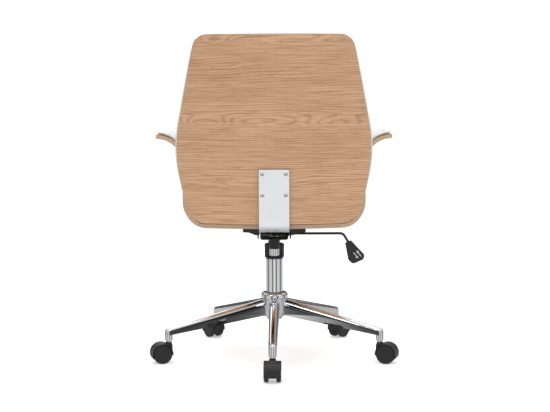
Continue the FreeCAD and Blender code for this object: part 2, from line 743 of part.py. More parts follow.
def make_seat_cushion():
    """The upholstered pad that fills the seat shell, with a crowned top."""
    half, low, corner = SEAT_HALF - PLY - PAD_GAP, SEAT_LOW + PLY + PAD_GAP, SEAT_CORNER - PLY - PAD_GAP
    front, rear, top, above = SEAT_FRONT + 2, SEAT_REAR - 6, SEAT_PAD_TOP, SEAT_PAD_TOP + 1
    crown_in, crown_drop, nose, nose_drop = 60.0, 6.0, 68.0, 12.0
    section = [
        (-half, low), (half, low), (half, top - crown_drop), (half - crown_in, top),
        (-half + crown_in, top), (-half, top - crown_drop),
    ]
    pad = prism("XZ", section, [corner, corner, 8, 60, 60, 8], front, rear)
    side_view = prism("YZ", [
        (front, low - 1), (rear, low - 1), (rear, above), (front + nose, above), (front, top - nose_drop),
    ], [14, 8, 18, 90, 22], -half, half)
    plan = prism("XY", rectangle(-half, half, front, rear), [48, 48, 12, 12], low - 1, above)
    return pad.common(side_view).common(plan).common(inside_back(PLY + SEAT_BACK_GAP + 5.0))


# Back

def back_path():
    """The back shell's rear face in side view: a steep lower part and a bend to the upper lean."""
    lower = math.tan(math.radians(BACK_LOWER_LEAN))
    upper = math.tan(math.radians(BACK_UPPER_LEAN))
    bend_y = BACK_LOW_Y + (BACK_BEND_Z - BACK_LOW) * lower
    spare = 30.0
    low = (BACK_LOW_Y - spare * lower, BACK_LOW - spare)
    top = (bend_y + (BACK_TOP + spare - BACK_BEND_Z) * upper, BACK_TOP + spare)
    return [low, (bend_y, BACK_BEND_Z), top]


def back_revolve(face):
    """The side view carried round an upright axis in front of the sitter, which wraps the back."""
    spread = 30.0
    axis = Vector(0, BACK_LOW_Y - BACK_WRAP, 0)
    face.rotate(axis, UP, -spread)
    return face.revolve(axis, UP, 2 * spread)


def back_outline(grow):
    """The back's outline seen from behind: narrow top, widest at the arms and rounded corners."""
    low_round, wide_round, top_round = 60.0 + grow, 350.0, 40.0 + grow
    low_x, wide_x, top_x = BACK_LOW_HALF + grow, BACK_WIDE_HALF + grow, BACK_TOP_HALF + grow
    low_z, top_z = BACK_LOW - grow, BACK_TOP + grow
    corners = [
        (-low_x, low_z), (low_x, low_z), (wide_x, BACK_WIDE_Z),
        (top_x, top_z), (-top_x, top_z), (-wide_x, BACK_WIDE_Z),
    ]
    radii = [low_round, low_round, wide_round, top_round, top_round, wide_round]
    return prism("XZ", corners, radii, BACK_OUTLINE_FRONT, BACK_OUTLINE_REAR)


def make_back_shell():
    """The bent back board, wrapped round the sitter."""
    board = band_face("YZ", back_path(), [0, BACK_BEND_RADIUS, 0], PLY)
    return back_revolve(board).common(back_outline(0.0))


def make_back_cushion():
    """The padded front of the back: thin behind the seat and full at the lumbar."""
    lift = math.tan(math.radians(BACK_UPPER_LEAN))
    low, bend, top = shifted(back_path(), PLY + PAD_GAP)
    thin, lumbar, upper, overlap = 12.0, 44.0, 36.0, 3.0
    thin_top, swell_in, swell_rise, full_above, full_below = SEAT_PAD_TOP + 4.0, 26.0, 46.0, 60.0, 20.0
    lumbar_y, thin_y = bend[0] - lumbar, low[0] - thin
    corners = [
        low, bend, top, (top[0] - upper, top[1]),
        (lumbar_y + full_above * lift, bend[1] + full_above), (lumbar_y, bend[1] - full_below),
        (thin_y - swell_in, thin_top + swell_rise), (thin_y, thin_top), (thin_y, low[1]),
    ]
    radii = [0, BACK_BEND_RADIUS + PLY, 0, 0, 300, 200, 30, 10, 0]
    face = Part.Face(Part.Wire(path_edges("YZ", corners, radii, True)))
    return back_revolve(face).common(back_outline(overlap))


def make_back_bracket():
    """The chromed flat bar from under the seat, bent up behind the back shell."""
    lean, bend, corner = math.tan(math.radians(BACK_LOWER_LEAN)), 20.0, 5.0
    bend_y = BACK_LOW_Y - (BACK_LOW - SEAT_LOW) * lean
    top_y = BACK_LOW_Y + (BRACKET_TOP - BACK_LOW) * lean
    inner = [(BRACKET_FRONT, SEAT_LOW), (bend_y, SEAT_LOW), (top_y, BRACKET_TOP)]
    outer = shifted(inner, -BRACKET_THICK)
    bar = band("YZ", outer, [0, bend, 0], BRACKET_THICK, -BRACKET_HALF, BRACKET_HALF)
    corners = rectangle(-BRACKET_HALF, BRACKET_HALF, 0, BRACKET_TOP)
    return bar.common(prism("XZ", corners, [0, 0, corner, corner], 0, BACK_WRAP))


def back_screw(x, z):
    """A pan-head screw through the bracket into the back shell."""
    shank, length, head, head_top, rise = 2.9, 13.0, 5.6, 4.4, 2.8
    lean = math.radians(BACK_LOWER_LEAN)
    face_y = BACK_LOW_Y + (z - BACK_LOW) * math.tan(lean) + BRACKET_THICK / math.cos(lean)
    screw = turned([(0, -length), (shank, -length), (shank, 0), (head, 0), (head_top, rise), (0, rise)])
    screw.rotate(ORIGIN, Vector(1, 0, 0), -90 - BACK_LOWER_LEAN)
    screw.translate(Vector(x, face_y, z))
    return screw


def make_back():
    screw_half, rows = 31.0, (481.0, 537.2)
    screws = [back_screw(x, z) for x in (-screw_half, screw_half) for z in rows]
    shell, bracket = make_back_shell(), make_back_bracket()
    for screw in screws:
        shell = shell.cut(screw)
        bracket = bracket.cut(screw)
    parts["back_shell"] = shell
    parts["back_cushion"] = make_back_cushion()
    parts["back_bracket"] = bracket
    parts["bracket_screws"] = Part.makeCompound(screws)


# Arms

def arm_board(corners, radii, thickness, inset):
    """A bent board cut to the arm's side view and given round corners at its tip."""
    inner, under, over, tip = 80.0, SEAT_LOW - 26.0, ARM_TOP + 25.0, ARM_TIP - inset
    foot_rear, foot_front, foot_top = 52.0 - inset, -84.0 + inset, 440.0
    rest_rear, rest_front, rest_low, slant = 78.0 - inset, -182.0 + inset, 600.0, 14.0
    board = band("XZ", corners, radii, thickness, rest_front - 5, rest_rear + 5)
    side_view = prism("YZ", [
        (foot_rear, under), (foot_front, under), (foot_front, foot_top), (rest_front, rest_low + 10),
        (rest_front, over), (rest_rear, over), (rest_rear, rest_low), (foot_rear, foot_top + 10),
    ], [0, 0, 60, 60, 0, 0, 60, 60], inner, ARM_TIP + inner)
    plan = prism("XY", [
        (inner, rest_front), (tip, rest_front + slant), (tip, rest_rear), (inner, rest_rear),
    ], [0, 42, 30, 0], under, over)
    return board.common(side_view).common(plan)


def make_arm():
    """From under the seat, round the seat shell's corner, up and then out to the flared rest."""
    low, top, foot_x = SEAT_LOW - PLY, ARM_TOP - PLY, 118.0
    corners = [(foot_x, low), (ARM_OUTER, low), (ARM_OUTER, top), (ARM_TIP + 5, top)]
    return arm_board(corners, [0, SEAT_CORNER + PLY, ARM_BEND, 0], PLY, 0.0)


def make_arm_pad():
    """The upholstered pad on the arm's inner and upper face."""
    inner, low, thick, inset = ARM_OUTER - PLY, 512.0, 8.0, 4.0
    corners = [(inner, low), (inner, ARM_TOP), (ARM_TIP, ARM_TOP)]
    return arm_board(corners, [0, ARM_BEND + PLY, 0], thick, inset)


# Fasteners of the seat

def hex_bolt(x, y, head_face):
    """A hexagon bolt that points up, with its head below the face that it clamps."""
    head, head_radius, shank, reach = 3.6, 7.0, 3.9, 13.0
    bolt = prism("XY", hexagon(head_radius, x, y), 0, head_face - head, head_face)
    return bolt.fuse(Part.makeCylinder(shank, reach, Vector(x, y, head_face)))


def bolt_set(xs, ys, head_face):
    """Four bolts at the corners of a rectangle in plan."""
    return [hex_bolt(x, y, head_face) for x in xs for y in ys]


def arm_sinks(xs, ys):
    """The counterbores in the arms' feet for the bolt heads."""
    radius, low, height = 8.0, SEAT_LOW - PLY - ARM_SINK, 2 * ARM_SINK
    return [Part.makeCylinder(radius, height, Vector(x, y, low)) for x in xs for y in ys]


def make_seat_and_arms():
    arm_xs, arm_ys = (-146, 146), (-50, 18)
    plate_bolts = bolt_set((-66, 66), (-84, 56), SEAT_LOW - SHEET)
    bar_bolts = bolt_set((-24, 24), (116, 172), SEAT_LOW - BRACKET_THICK)
    arm_bolts = bolt_set(arm_xs, arm_ys, SEAT_LOW - PLY + ARM_SINK)
    arm_cuts = arm_bolts + arm_sinks(arm_xs, arm_ys)
    arm, pad = make_arm(), make_arm_pad()
    bored = {
        "seat_shell": (make_seat_shell(), plate_bolts + bar_bolts + arm_bolts),
        "seat_plate": (parts["seat_plate"], plate_bolts),
        "back_bracket": (parts["back_bracket"], bar_bolts),
        "arm_left": (arm, arm_cuts),
        "arm_right": (mirrored(arm), arm_cuts),
    }
    for name, (shape, cutters) in bored.items():
        for cutter in cutters:
            shape = shape.cut(cutter)
        parts[name] = shape
    parts["arm_pad_left"] = pad
    parts["arm_pad_right"] = mirrored(pad)
    parts["seat_cushion"] = make_seat_cushion()
    parts["seat_bolts"] = Part.makeCompound(plate_bolts + bar_bolts + arm_bolts)


# Casters, drawn at the stem's axis with the trail along +X

def hood_opening():
    """The space under a hood, which leaves the wheels bare in front and below."""
    width = HOOD_HALF + 1
    before, behind = TRAIL + 40, -30
    return prism("XZ", [
        (behind, -10), (before, -10), (before, 14), (TRAIL + 12, 16), (TRAIL - 8, 22), (behind, 24),
    ], [0, 0, 0, 0, 20, 0], -width, width)


def make_hood():
    """The caster's housing: a web between the wheels, a stem barrel and a roof over both wheels."""
    z, barrel, barrel_low, web = WHEEL_RADIUS, 8.6, 26.0, WHEEL_IN - 1.2
    roof = Part.makeCylinder(HOOD_RADIUS, 2 * HOOD_HALF, Vector(TRAIL, -HOOD_HALF, z), Vector(0, 1, 0))
    neck = Part.makeCylinder(barrel, HOOD_TOP - barrel_low, Vector(0, 0, barrel_low))
    shoulder = prism("XZ", [
        (-barrel, barrel_low), (TRAIL, barrel_low), (TRAIL, z + HOOD_RADIUS - 1), (0, HOOD_TOP - 2),
        (-barrel, HOOD_TOP - 6),
    ], 0, -web, web)
    hood = roof.cut(hood_opening()).fuse(shoulder).fuse(neck)
    for side in (-1, 1):
        inner, outer = Vector(TRAIL, side * (WHEEL_IN - 0.5), z), Vector(TRAIL, side * (HOOD_HALF + 2), z)
        hood = hood.cut(rod(inner, outer, WHEEL_RADIUS + HOOD_GAP))
    hood = hood.cut(rod(Vector(TRAIL, -HOOD_HALF, z), Vector(TRAIL, HOOD_HALF, z), AXLE_RADIUS))
    return hood.cut(Part.makeCylinder(STEM_RADIUS, HOOD_TOP, Vector(0, 0, STEM_LOW)))


def make_caster_pins():
    """The stem with its collar, and the axle."""
    collar, collar_top, reach = 8.0, BOSS_LOW - 0.3, WHEEL_OUT - 3.0
    stem = turned([
        (0, STEM_LOW), (STEM_RADIUS, STEM_LOW), (STEM_RADIUS, HOOD_TOP), (collar, HOOD_TOP),
        (collar, collar_top), (STEM_RADIUS, collar_top), (STEM_RADIUS, STEM_TOP), (0, STEM_TOP),
    ])
    axle = rod(Vector(TRAIL, -reach, WHEEL_RADIUS), Vector(TRAIL, reach, WHEEL_RADIUS), AXLE_RADIUS)
    return Part.makeCompound([stem, axle])


def make_wheel(side):
    """A moulded wheel with a chamfered tread, a dished face and a closed hub."""
    bore, edge, cap, dish = AXLE_RADIUS + RUNNING_GAP, 2.4, 2.8, 1.4
    rim = WHEEL_RADIUS - edge
    wheel = turned([
        (bore, WHEEL_IN), (WHEEL_RADIUS, WHEEL_IN), (WHEEL_RADIUS, WHEEL_OUT - edge), (rim, WHEEL_OUT),
        (rim - edge, WHEEL_OUT - dish), (0, WHEEL_OUT), (0, WHEEL_OUT - cap), (bore, WHEEL_OUT - cap),
    ])
    wheel.rotate(ORIGIN, Vector(1, 0, 0), -90 * side)
    wheel.translate(Vector(TRAIL, 0, WHEEL_RADIUS))
    return wheel


def make_casters():
    wheel_a, wheel_b = make_wheel(1), make_wheel(-1)
    shapes = {"hood": make_hood(), "pins": make_caster_pins(), "wheel_a": wheel_a, "wheel_b": wheel_b}
    for i, angle in enumerate(leg_angles(), 1):
        for name, shape in shapes.items():
            copy = shape.copy()
            copy.translate(Vector(CASTER_RADIUS, 0, 0))
            parts[f"caster_{i}_{name}"] = spun(copy, angle)


make_base()
make_gas_lift()
make_mechanism()
make_back()
make_seat_and_arms()
make_casters()

os.makedirs("parts", exist_ok=True)
for name, shape in parts.items():
    shape.exportStep(f"parts/{name}.step")
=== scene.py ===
import json
import math

import bmesh
import bpy
from mathutils import Matrix, Vector
from mathutils.bvhtree import BVHTree


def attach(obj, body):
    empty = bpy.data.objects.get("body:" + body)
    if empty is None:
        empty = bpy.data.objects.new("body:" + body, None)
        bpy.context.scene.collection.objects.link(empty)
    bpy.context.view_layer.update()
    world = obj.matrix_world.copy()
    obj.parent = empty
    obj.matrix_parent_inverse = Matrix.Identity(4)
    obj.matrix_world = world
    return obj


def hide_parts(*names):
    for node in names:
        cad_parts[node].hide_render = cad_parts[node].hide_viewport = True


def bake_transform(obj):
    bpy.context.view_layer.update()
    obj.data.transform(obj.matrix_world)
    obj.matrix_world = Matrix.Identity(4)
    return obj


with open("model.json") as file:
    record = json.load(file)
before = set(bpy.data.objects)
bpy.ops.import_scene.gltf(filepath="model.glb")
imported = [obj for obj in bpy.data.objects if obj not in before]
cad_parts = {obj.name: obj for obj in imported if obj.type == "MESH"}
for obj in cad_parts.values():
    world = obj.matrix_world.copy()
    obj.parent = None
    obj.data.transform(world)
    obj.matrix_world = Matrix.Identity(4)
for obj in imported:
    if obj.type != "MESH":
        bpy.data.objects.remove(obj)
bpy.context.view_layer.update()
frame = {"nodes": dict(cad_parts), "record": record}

# Sizes of the bent boards and pads, in metres
PLY = 0.011
PLIES = 8
BACK_WRAP = 0.62
BACK_LOW_Y = 0.235
BACK_LOW = 0.402
BACK_TOP = 0.9
BACK_BEND_Z = 0.616
BACK_BEND_RADIUS = 0.7
BACK_LOWER_LEAN = math.radians(4)
BACK_UPPER_LEAN = math.radians(14.5)
WRAP_AXIS_Y = BACK_LOW_Y - BACK_WRAP
SEAT_BACK_GAP = 0.024
SEAT_LOW = 0.386
SEAT_HALF = 0.245
SEAT_CORNER = 0.06
SEAT_FRONT = -0.275
SEAT_REAR = 0.2
SEAT_RIM = 0.452
ARM_OUTER = SEAT_HALF + PLY
ARM_TOP = 0.635
ARM_TIP = 0.33
ARM_BEND = 0.068

# The photograph's camera: 1200 pixels of focal length in a frame 550 wide
PHOTO_WIDTH = 550
FOCAL_PIXELS = 1200
SENSOR = 36.0
CAMERA_AT = Vector((-0.0023, 3.399, 0.7434))
CAMERA_PITCH = math.radians(5.27)
CAMERA_ROLL = math.radians(-0.2)
FLOOR_RADIUS = 2.6

# Seams and stitches on the pads: (height, depth) on the back, and one place on the seat
BACK_SEAMS = ((0.560, 0.004), (0.700, 0.005))
SEAT_SEAM = -0.2
SEAT_SEAM_DEPTH = 0.004
SEAM_WIDTH = 0.005
STITCH_OFF = 0.008
STITCH_PITCH = 0.0052
STITCH_SIZE = (0.0019, 0.0005, 0.0004)
WELT_RADIUS = 0.0021
WELT_INSET = 0.026
CLOTH_FRAMES = 20

# Screws in the bracket's face
BRACKET_THICK = 0.006
SCREW_HALF = 0.031
SCREW_ROWS = (0.481, 0.5372)
SCREW_HEAD = 0.0056
SCREW_RISE = 0.0031
RECESS_LONG = 0.0033
RECESS_WIDE = 0.0011
RECESS_FLOOR = 0.0012

# The raised sign on the lever's paddle
SIGN_CENTRE = Vector((-0.2365, 0.0, 0.291))
SIGN_OUT = 0.006
SIGN_RAISED = 0.0003
SIGN_TURN = math.radians(38)
ARROW_SHAFT = 0.0012
ARROW_TIP = 0.011
ARROW_HEAD = 0.008
ARROW_WIDE = 0.0042
ARROWS_APART = 0.0052

MATERIALS = {}


# Shader building blocks

def node(tree, kind, inputs=None, **settings):
    """Adds a shader node, links its socket inputs and sets the rest."""
    made = tree.nodes.new(kind)
    for key, value in settings.items():
        setattr(made, key, value)
    for key, value in (inputs or {}).items():
        if isinstance(value, bpy.types.NodeSocket):
            tree.links.new(value, made.inputs[key])
        else:
            made.inputs[key].default_value = value
    return made


def calc(tree, operation, *values):
    made = node(tree, "ShaderNodeMath", dict(enumerate(values)), operation=operation)
    return made.outputs[0]


def stretched(tree, vector, scale):
    """The vector multiplied by a scale in each direction."""
    made = node(tree, "ShaderNodeVectorMath", {0: vector, 1: scale}, operation="MULTIPLY")
    return made.outputs[0]


def noise(tree, vector, scale, detail=3.0, roughness=0.5, distortion=0.0):
    inputs = {
        "Vector": vector, "Scale": scale, "Detail": detail, "Roughness": roughness, "Distortion": distortion,
    }
    return node(tree, "ShaderNodeTexNoise", inputs).outputs["Fac"]


def ramp(tree, value, stops, interpolation="LINEAR"):
    """A colour ramp from (position, grey or colour) stops."""
    made = node(tree, "ShaderNodeValToRGB", {"Fac": value})
    band = made.color_ramp
    band.interpolation = interpolation
    while len(band.elements) < len(stops):
        band.elements.new(1.0)
    for element, (position, colour) in zip(band.elements, stops):
        element.position = position
        element.color = (*colour, 1.0) if isinstance(colour, tuple) else (colour, colour, colour, 1.0)
    return made.outputs["Color"]


def mixed(tree, share, a, b, blend="MIX"):
    made = node(tree, "ShaderNodeMix", data_type="RGBA", blend_type=blend)
    for socket, value in ((made.inputs[0], share), (made.inputs[6], a), (made.inputs[7], b)):
        if isinstance(value, bpy.types.NodeSocket):
            tree.links.new(value, socket)
        elif isinstance(value, tuple):
            socket.default_value = (*value, 1.0)
        else:
            socket.default_value = value
    return made.outputs[2]


def bump(tree, height, distance, strength=1.0, normal=None):
    inputs = {"Height": height, "Distance": distance, "Strength": strength}
    if normal is not None:
        inputs["Normal"] = normal
    return node(tree, "ShaderNodeBump", inputs).outputs["Normal"]


def start_material(name):
    """A new material with its shader, and the object's own coordinates in metres."""
    material = bpy.data.materials.new(name)
    material.use_nodes = True
    tree = material.node_tree
    shader = tree.nodes["Principled BSDF"]
    place = tree.nodes.new("ShaderNodeTexCoord").outputs["Object"]
    MATERIALS[name] = material
    return tree, shader, place


def connect(tree, shader, sockets):
    for name, value in sockets.items():
        if isinstance(value, bpy.types.NodeSocket):
            tree.links.new(value, shader.inputs[name])
        else:
            shader.inputs[name].default_value = value


# Materials

# Lumps in the veneer's figure, as (along, up, length, height, rise) on the back
FIGURES = (
    (0.160, 0.878, 0.060, 0.018, 0.030),
    (-0.060, 0.876, 0.110, 0.014, 0.026),
    (-0.170, 0.880, 0.060, 0.016, 0.024),
    (0.190, 0.670, 0.075, 0.018, 0.034),
    (0.040, 0.664, 0.120, 0.011, 0.020),
    (-0.170, 0.665, 0.120, 0.020, 0.034),
    (0.080, 0.500, 0.160, 0.024, 0.022),
)


def figure_height(tree, along, up):
    """A smooth relief whose level lines are the veneer's growth rings."""
    height = up
    for x, z, length, tall, rise in FIGURES:
        dx = calc(tree, "DIVIDE", calc(tree, "SUBTRACT", along, x), length)
        dz = calc(tree, "DIVIDE", calc(tree, "SUBTRACT", up, z), tall)
        reach = calc(tree, "ADD", calc(tree, "MULTIPLY", dx, dx), calc(tree, "MULTIPLY", dz, dz))
        lump = calc(tree, "EXPONENT", calc(tree, "MULTIPLY", reach, -1.0))
        height = calc(tree, "ADD", height, calc(tree, "MULTIPLY", lump, rise))
    return height


def oak_veneer(name, figured):
    """Lacquered oak veneer with its grain along the first surface coordinate."""
    tree, shader, _ = start_material(name)
    grain = node(tree, "ShaderNodeUVMap", uv_map="grain").outputs["UV"]
    axes = node(tree, "ShaderNodeSeparateXYZ", {"Vector": grain})
    along, up = axes.outputs["X"], axes.outputs["Y"]
    ring_pitch = 0.0062
    slow = noise(tree, stretched(tree, grain, (2.2, 10.0, 1.0)), 1.0, 2.0, 0.45)
    fine = noise(tree, stretched(tree, grain, (16.0, 55.0, 1.0)), 1.0, 3.0, 0.55)
    relief = figure_height(tree, along, up) if figured else up
    relief = calc(tree, "ADD", relief, calc(tree, "MULTIPLY", slow, 0.048))
    relief = calc(tree, "ADD", relief, calc(tree, "MULTIPLY", fine, 0.0052))
    rings = calc(tree, "FRACT", calc(tree, "DIVIDE", relief, ring_pitch))
    line = ramp(tree, rings, ((0.0, 0.42), (0.16, 0.06), (0.55, 0.0), (0.80, 0.45), (0.92, 1.0), (1.0, 0.42)))
    streak = noise(tree, stretched(tree, grain, (2.6, 330.0, 1.0)), 1.0, 4.0, 0.65)
    dash = noise(tree, stretched(tree, grain, (11.0, 400.0, 1.0)), 1.0, 3.0, 0.6, 0.4)
    dashes = ramp(tree, dash, ((0.50, 0.0), (0.64, 1.0)))
    pores = noise(tree, stretched(tree, grain, (70.0, 1900.0, 1.0)), 1.0, 2.0, 0.6)
    pore = ramp(tree, pores, ((0.36, 1.0), (0.46, 0.0)))
    tone = noise(tree, stretched(tree, grain, (1.3, 7.0, 1.0)), 1.0, 2.0, 0.5)
    body = ramp(tree, tone, ((0.3, (0.540, 0.298, 0.158)), (0.7, (0.635, 0.372, 0.212))))
    dark = (0.225, 0.104, 0.046)
    colour = mixed(tree, calc(tree, "MULTIPLY", line, 0.68), body, dark)
    soft = ramp(tree, streak, ((0.42, 0.0), (0.66, 0.60)))
    colour = mixed(tree, soft, colour, (0.700, 0.475, 0.295))
    colour = mixed(tree, calc(tree, "MULTIPLY", dashes, 0.62), colour, (0.290, 0.140, 0.064))
    colour = mixed(tree, calc(tree, "MULTIPLY", pore, 0.42), colour, (0.230, 0.110, 0.050))
    height = calc(tree, "SUBTRACT", calc(tree, "MULTIPLY", streak, 0.4), calc(tree, "MULTIPLY", pore, 0.6))
    gloss = ramp(tree, calc(tree, "ADD", line, streak), ((0.0, 0.34), (1.0, 0.48)))
    connect(tree, shader, {
        "Base Color": colour, "Roughness": gloss, "Normal": bump(tree, height, 0.00012),
        "Coat Weight": 0.12, "Coat Roughness": 0.3, "IOR": 1.48,
    })


def ply_edge():
    """The cut edge of the bent board: thin plies whose grain runs along and across in turn."""
    tree, shader, _ = start_material("ply_edge")
    grain = node(tree, "ShaderNodeUVMap", uv_map="grain").outputs["UV"]
    depth = node(tree, "ShaderNodeSeparateXYZ", {"Vector": grain}).outputs["Y"]
    wobble = noise(tree, stretched(tree, grain, (35.0, 300.0, 1.0)), 1.0, 2.0)
    shifted = calc(tree, "ADD", depth, calc(tree, "MULTIPLY", wobble, 0.0005))
    plies = calc(tree, "PINGPONG", calc(tree, "DIVIDE", shifted, PLY / PLIES), 1.0)
    fibres = noise(tree, stretched(tree, grain, (420.0, 2400.0, 1.0)), 1.0, 3.0, 0.6)
    stripe = ramp(tree, plies, ((0.35, (0.640, 0.455, 0.300)), (0.62, (0.330, 0.190, 0.105))))
    colour = mixed(tree, calc(tree, "MULTIPLY", fibres, 0.45), stripe, (0.700, 0.530, 0.370))
    connect(tree, shader, {
        "Base Color": colour, "Roughness": ramp(tree, fibres, ((0.0, 0.42), (1.0, 0.6))),
        "Normal": bump(tree, calc(tree, "ADD", plies, fibres), 0.00015), "IOR": 1.48,
    })


def white_leather(name, colour, cell):
    """Coated upholstery with a fine pebble, soft creases and a little tone."""
    tree, shader, place = start_material(name)
    pebble = node(tree, "ShaderNodeTexVoronoi", {"Vector": place, "Scale": 1.0 / cell}, feature="SMOOTH_F1")
    crease = noise(tree, place, 95.0, 5.0, 0.6, 0.6)
    tone = noise(tree, place, 9.0, 3.0)
    dull = tuple(c * 0.93 for c in colour)
    height = calc(tree, "ADD", calc(tree, "MULTIPLY", pebble.outputs["Distance"], 0.6), crease)
    connect(tree, shader, {
        "Base Color": ramp(tree, tone, ((0.3, dull), (0.65, colour))),
        "Roughness": ramp(tree, crease, ((0.25, 0.38), (0.75, 0.56))),
        "Normal": bump(tree, height, 0.00035, 0.7), "Sheen Weight": 0.08, "Sheen Roughness": 0.4, "IOR": 1.46,
    })


def stitch_thread():
    tree, shader, place = start_material("stitch_thread")
    wave = node(tree, "ShaderNodeTexWave", {"Vector": place, "Scale": 900.0, "Distortion": 1.0})
    twist = wave.outputs["Fac"]
    connect(tree, shader, {
        "Base Color": ramp(tree, twist, ((0.0, (0.42, 0.40, 0.37)), (1.0, (0.58, 0.56, 0.53)))),
        "Roughness": 0.8, "Normal": bump(tree, twist, 0.0001),
    })


def polished(name, colour, low, high, brush=None):
    """Bare or plated metal with faint smears, and fine turning lines where it is brushed."""
    tree, shader, place = start_material(name)
    smear = noise(tree, place, 28.0, 4.0, 0.6, 0.4)
    sockets = {
        "Base Color": ramp(tree, smear, ((0.25, tuple(c * 0.96 for c in colour)), (0.75, colour))),
        "Metallic": 1.0, "Roughness": ramp(tree, smear, ((0.3, low), (0.7, high))),
    }
    if brush is not None:
        lines = noise(tree, stretched(tree, place, brush), 1.0, 2.0, 0.5)
        sockets["Normal"] = bump(tree, lines, 0.00003)
    connect(tree, shader, sockets)


def moulded(name, colour, roughness, grain, depth):
    """Plastic, rubber or powder coat with a fine skin."""
    tree, shader, place = start_material(name)
    skin = noise(tree, place, 1.0 / grain, 4.0, 0.6)
    scuff = noise(tree, place, 45.0, 4.0, 0.65, 0.5)
    light = tuple(min(1.0, c * 1.35 + 0.004) for c in colour)
    connect(tree, shader, {
        "Base Color": ramp(tree, scuff, ((0.35, colour), (0.8, light))),
        "Roughness": ramp(tree, scuff, ((0.3, roughness), (0.8, roughness + 0.14))),
        "Normal": bump(tree, skin, depth), "IOR": 1.5,
    })


def plain(name, colour, roughness, glow):
    tree, shader, place = start_material(name)
    mottle = noise(tree, place, 6.0, 2.0)
    connect(tree, shader, {
        "Base Color": ramp(tree, mottle, ((0.0, tuple(c * 0.99 for c in colour)), (1.0, colour))),
        "Roughness": roughness, "Emission Color": (1.0, 1.0, 1.0, 1.0), "Emission Strength": glow,
    })


def make_materials():
    oak_veneer("oak_figured", True)
    oak_veneer("oak_plain", False)
    ply_edge()
    white_leather("white_leather", (0.705, 0.695, 0.675), 0.0011)
    white_leather("white_welt", (0.640, 0.630, 0.610), 0.0009)
    stitch_thread()
    polished("chrome", (0.70, 0.705, 0.725), 0.025, 0.07)
    polished("bracket_chrome", (0.745, 0.77, 0.775), 0.12, 0.22, (900.0, 900.0, 25.0))
    polished("cylinder_steel", (0.74, 0.74, 0.74), 0.10, 0.2, (40.0, 40.0, 2200.0))
    polished("steel", (0.66, 0.67, 0.68), 0.2, 0.34, (300.0, 300.0, 900.0))
    moulded("black_steel", (0.009, 0.009, 0.010), 0.40, 0.0011, 0.00006)
    moulded("black_plastic", (0.016, 0.016, 0.017), 0.42, 0.0007, 0.00005)
    moulded("bump_rubber", (0.02, 0.02, 0.02), 0.7, 0.0009, 0.00005)
    moulded("caster_grey", (0.010, 0.010, 0.011), 0.42, 0.0008, 0.00006)
    moulded("wheel_black", (0.010, 0.010, 0.011), 0.46, 0.0008, 0.00005)
    moulded("print_grey", (0.52, 0.52, 0.53), 0.6, 0.0006, 0.00002)
    plain("floor_pale", (0.86, 0.86, 0.86), 0.75, 0.44)


# Mesh building blocks

def place_piece(obj, body, slot, *nodes):
    """Makes a piece ride on its body and hides the solids it is shown in place of."""
    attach(obj, body)
    if nodes:
        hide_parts(*nodes)


def new_object(name, mesh, *materials):
    obj = bpy.data.objects.new(name, mesh)
    bpy.context.scene.collection.objects.link(obj)
    for material in materials:
        mesh.materials.append(MATERIALS[material])
    return obj


def shade(obj, degrees=32.0):
    """Smooth faces, kept sharp where they meet at more than an angle."""
    obj.data.polygons.foreach_set("use_smooth", [True] * len(obj.data.polygons))
    obj.data.set_sharp_from_angle(angle=math.radians(degrees))


def rounded_edges(obj, width, segments=2, degrees=30.0):
    """Real rounds along the sharp edges."""
    rounds = obj.modifiers.new("rounds", "BEVEL")
    rounds.width = width
    rounds.segments = segments
    rounds.limit_method = "ANGLE"
    rounds.angle_limit = math.radians(degrees)
    rounds.harden_normals = True


def settle(obj):
    """Replaces an object's mesh by what its modifiers make of it."""
    graph = bpy.context.evaluated_depsgraph_get()
    shown = obj.evaluated_get(graph)
    mesh = bpy.data.meshes.new_from_object(shown, preserve_all_data_layers=True, depsgraph=graph)
    obj.modifiers.clear()
    old = obj.data
    obj.data = mesh
    bpy.data.meshes.remove(old)


def node_body(name):
    for body, nodes in frame["record"]["behaviour"]["bodies"].items():
        if name in nodes:
            return body


def cad_copy(name, material, joined=0.00001):
    """A clean copy of a solid's mesh, without the lines between its flat triangles."""
    mesh = frame["nodes"][name].data.copy()
    mesh.materials.clear()
    work = bmesh.new()
    work.from_mesh(mesh)
    bmesh.ops.remove_doubles(work, verts=work.verts, dist=joined)
    bmesh.ops.dissolve_limit(work, angle_limit=math.radians(0.5), verts=work.verts, edges=work.edges)
    bmesh.ops.recalc_face_normals(work, faces=work.faces)
    work.to_mesh(mesh)
    work.free()
    return new_object(f"{name}_shown", mesh, material)


def dressed(name, material, slot, width):
    """A solid shown with rounded edges and its finish."""
    obj = cad_copy(name, material)
    shade(obj)
    rounded_edges(obj, width)
    place_piece(obj, node_body(name), slot, name)


def corner_points(before, corner, after, radius, step):
    """Points along the round that replaces a corner of a path."""
    u, v = (before - corner).normalized(), (after - corner).normalized()
    half = u.angle(v) / 2
    reach = radius / math.tan(half)
    centre = corner + (u + v).normalized() * (radius / math.sin(half))
    start, end = corner + u * reach - centre, corner + v * reach - centre
    sweep = start.angle_signed(end)
    count = max(2, math.ceil(abs(sweep) / step))
    points = []
    for i in range(count + 1):
        turn = Matrix.Rotation(-sweep * i / count, 2)
        points.append(centre + turn @ start)
    return points


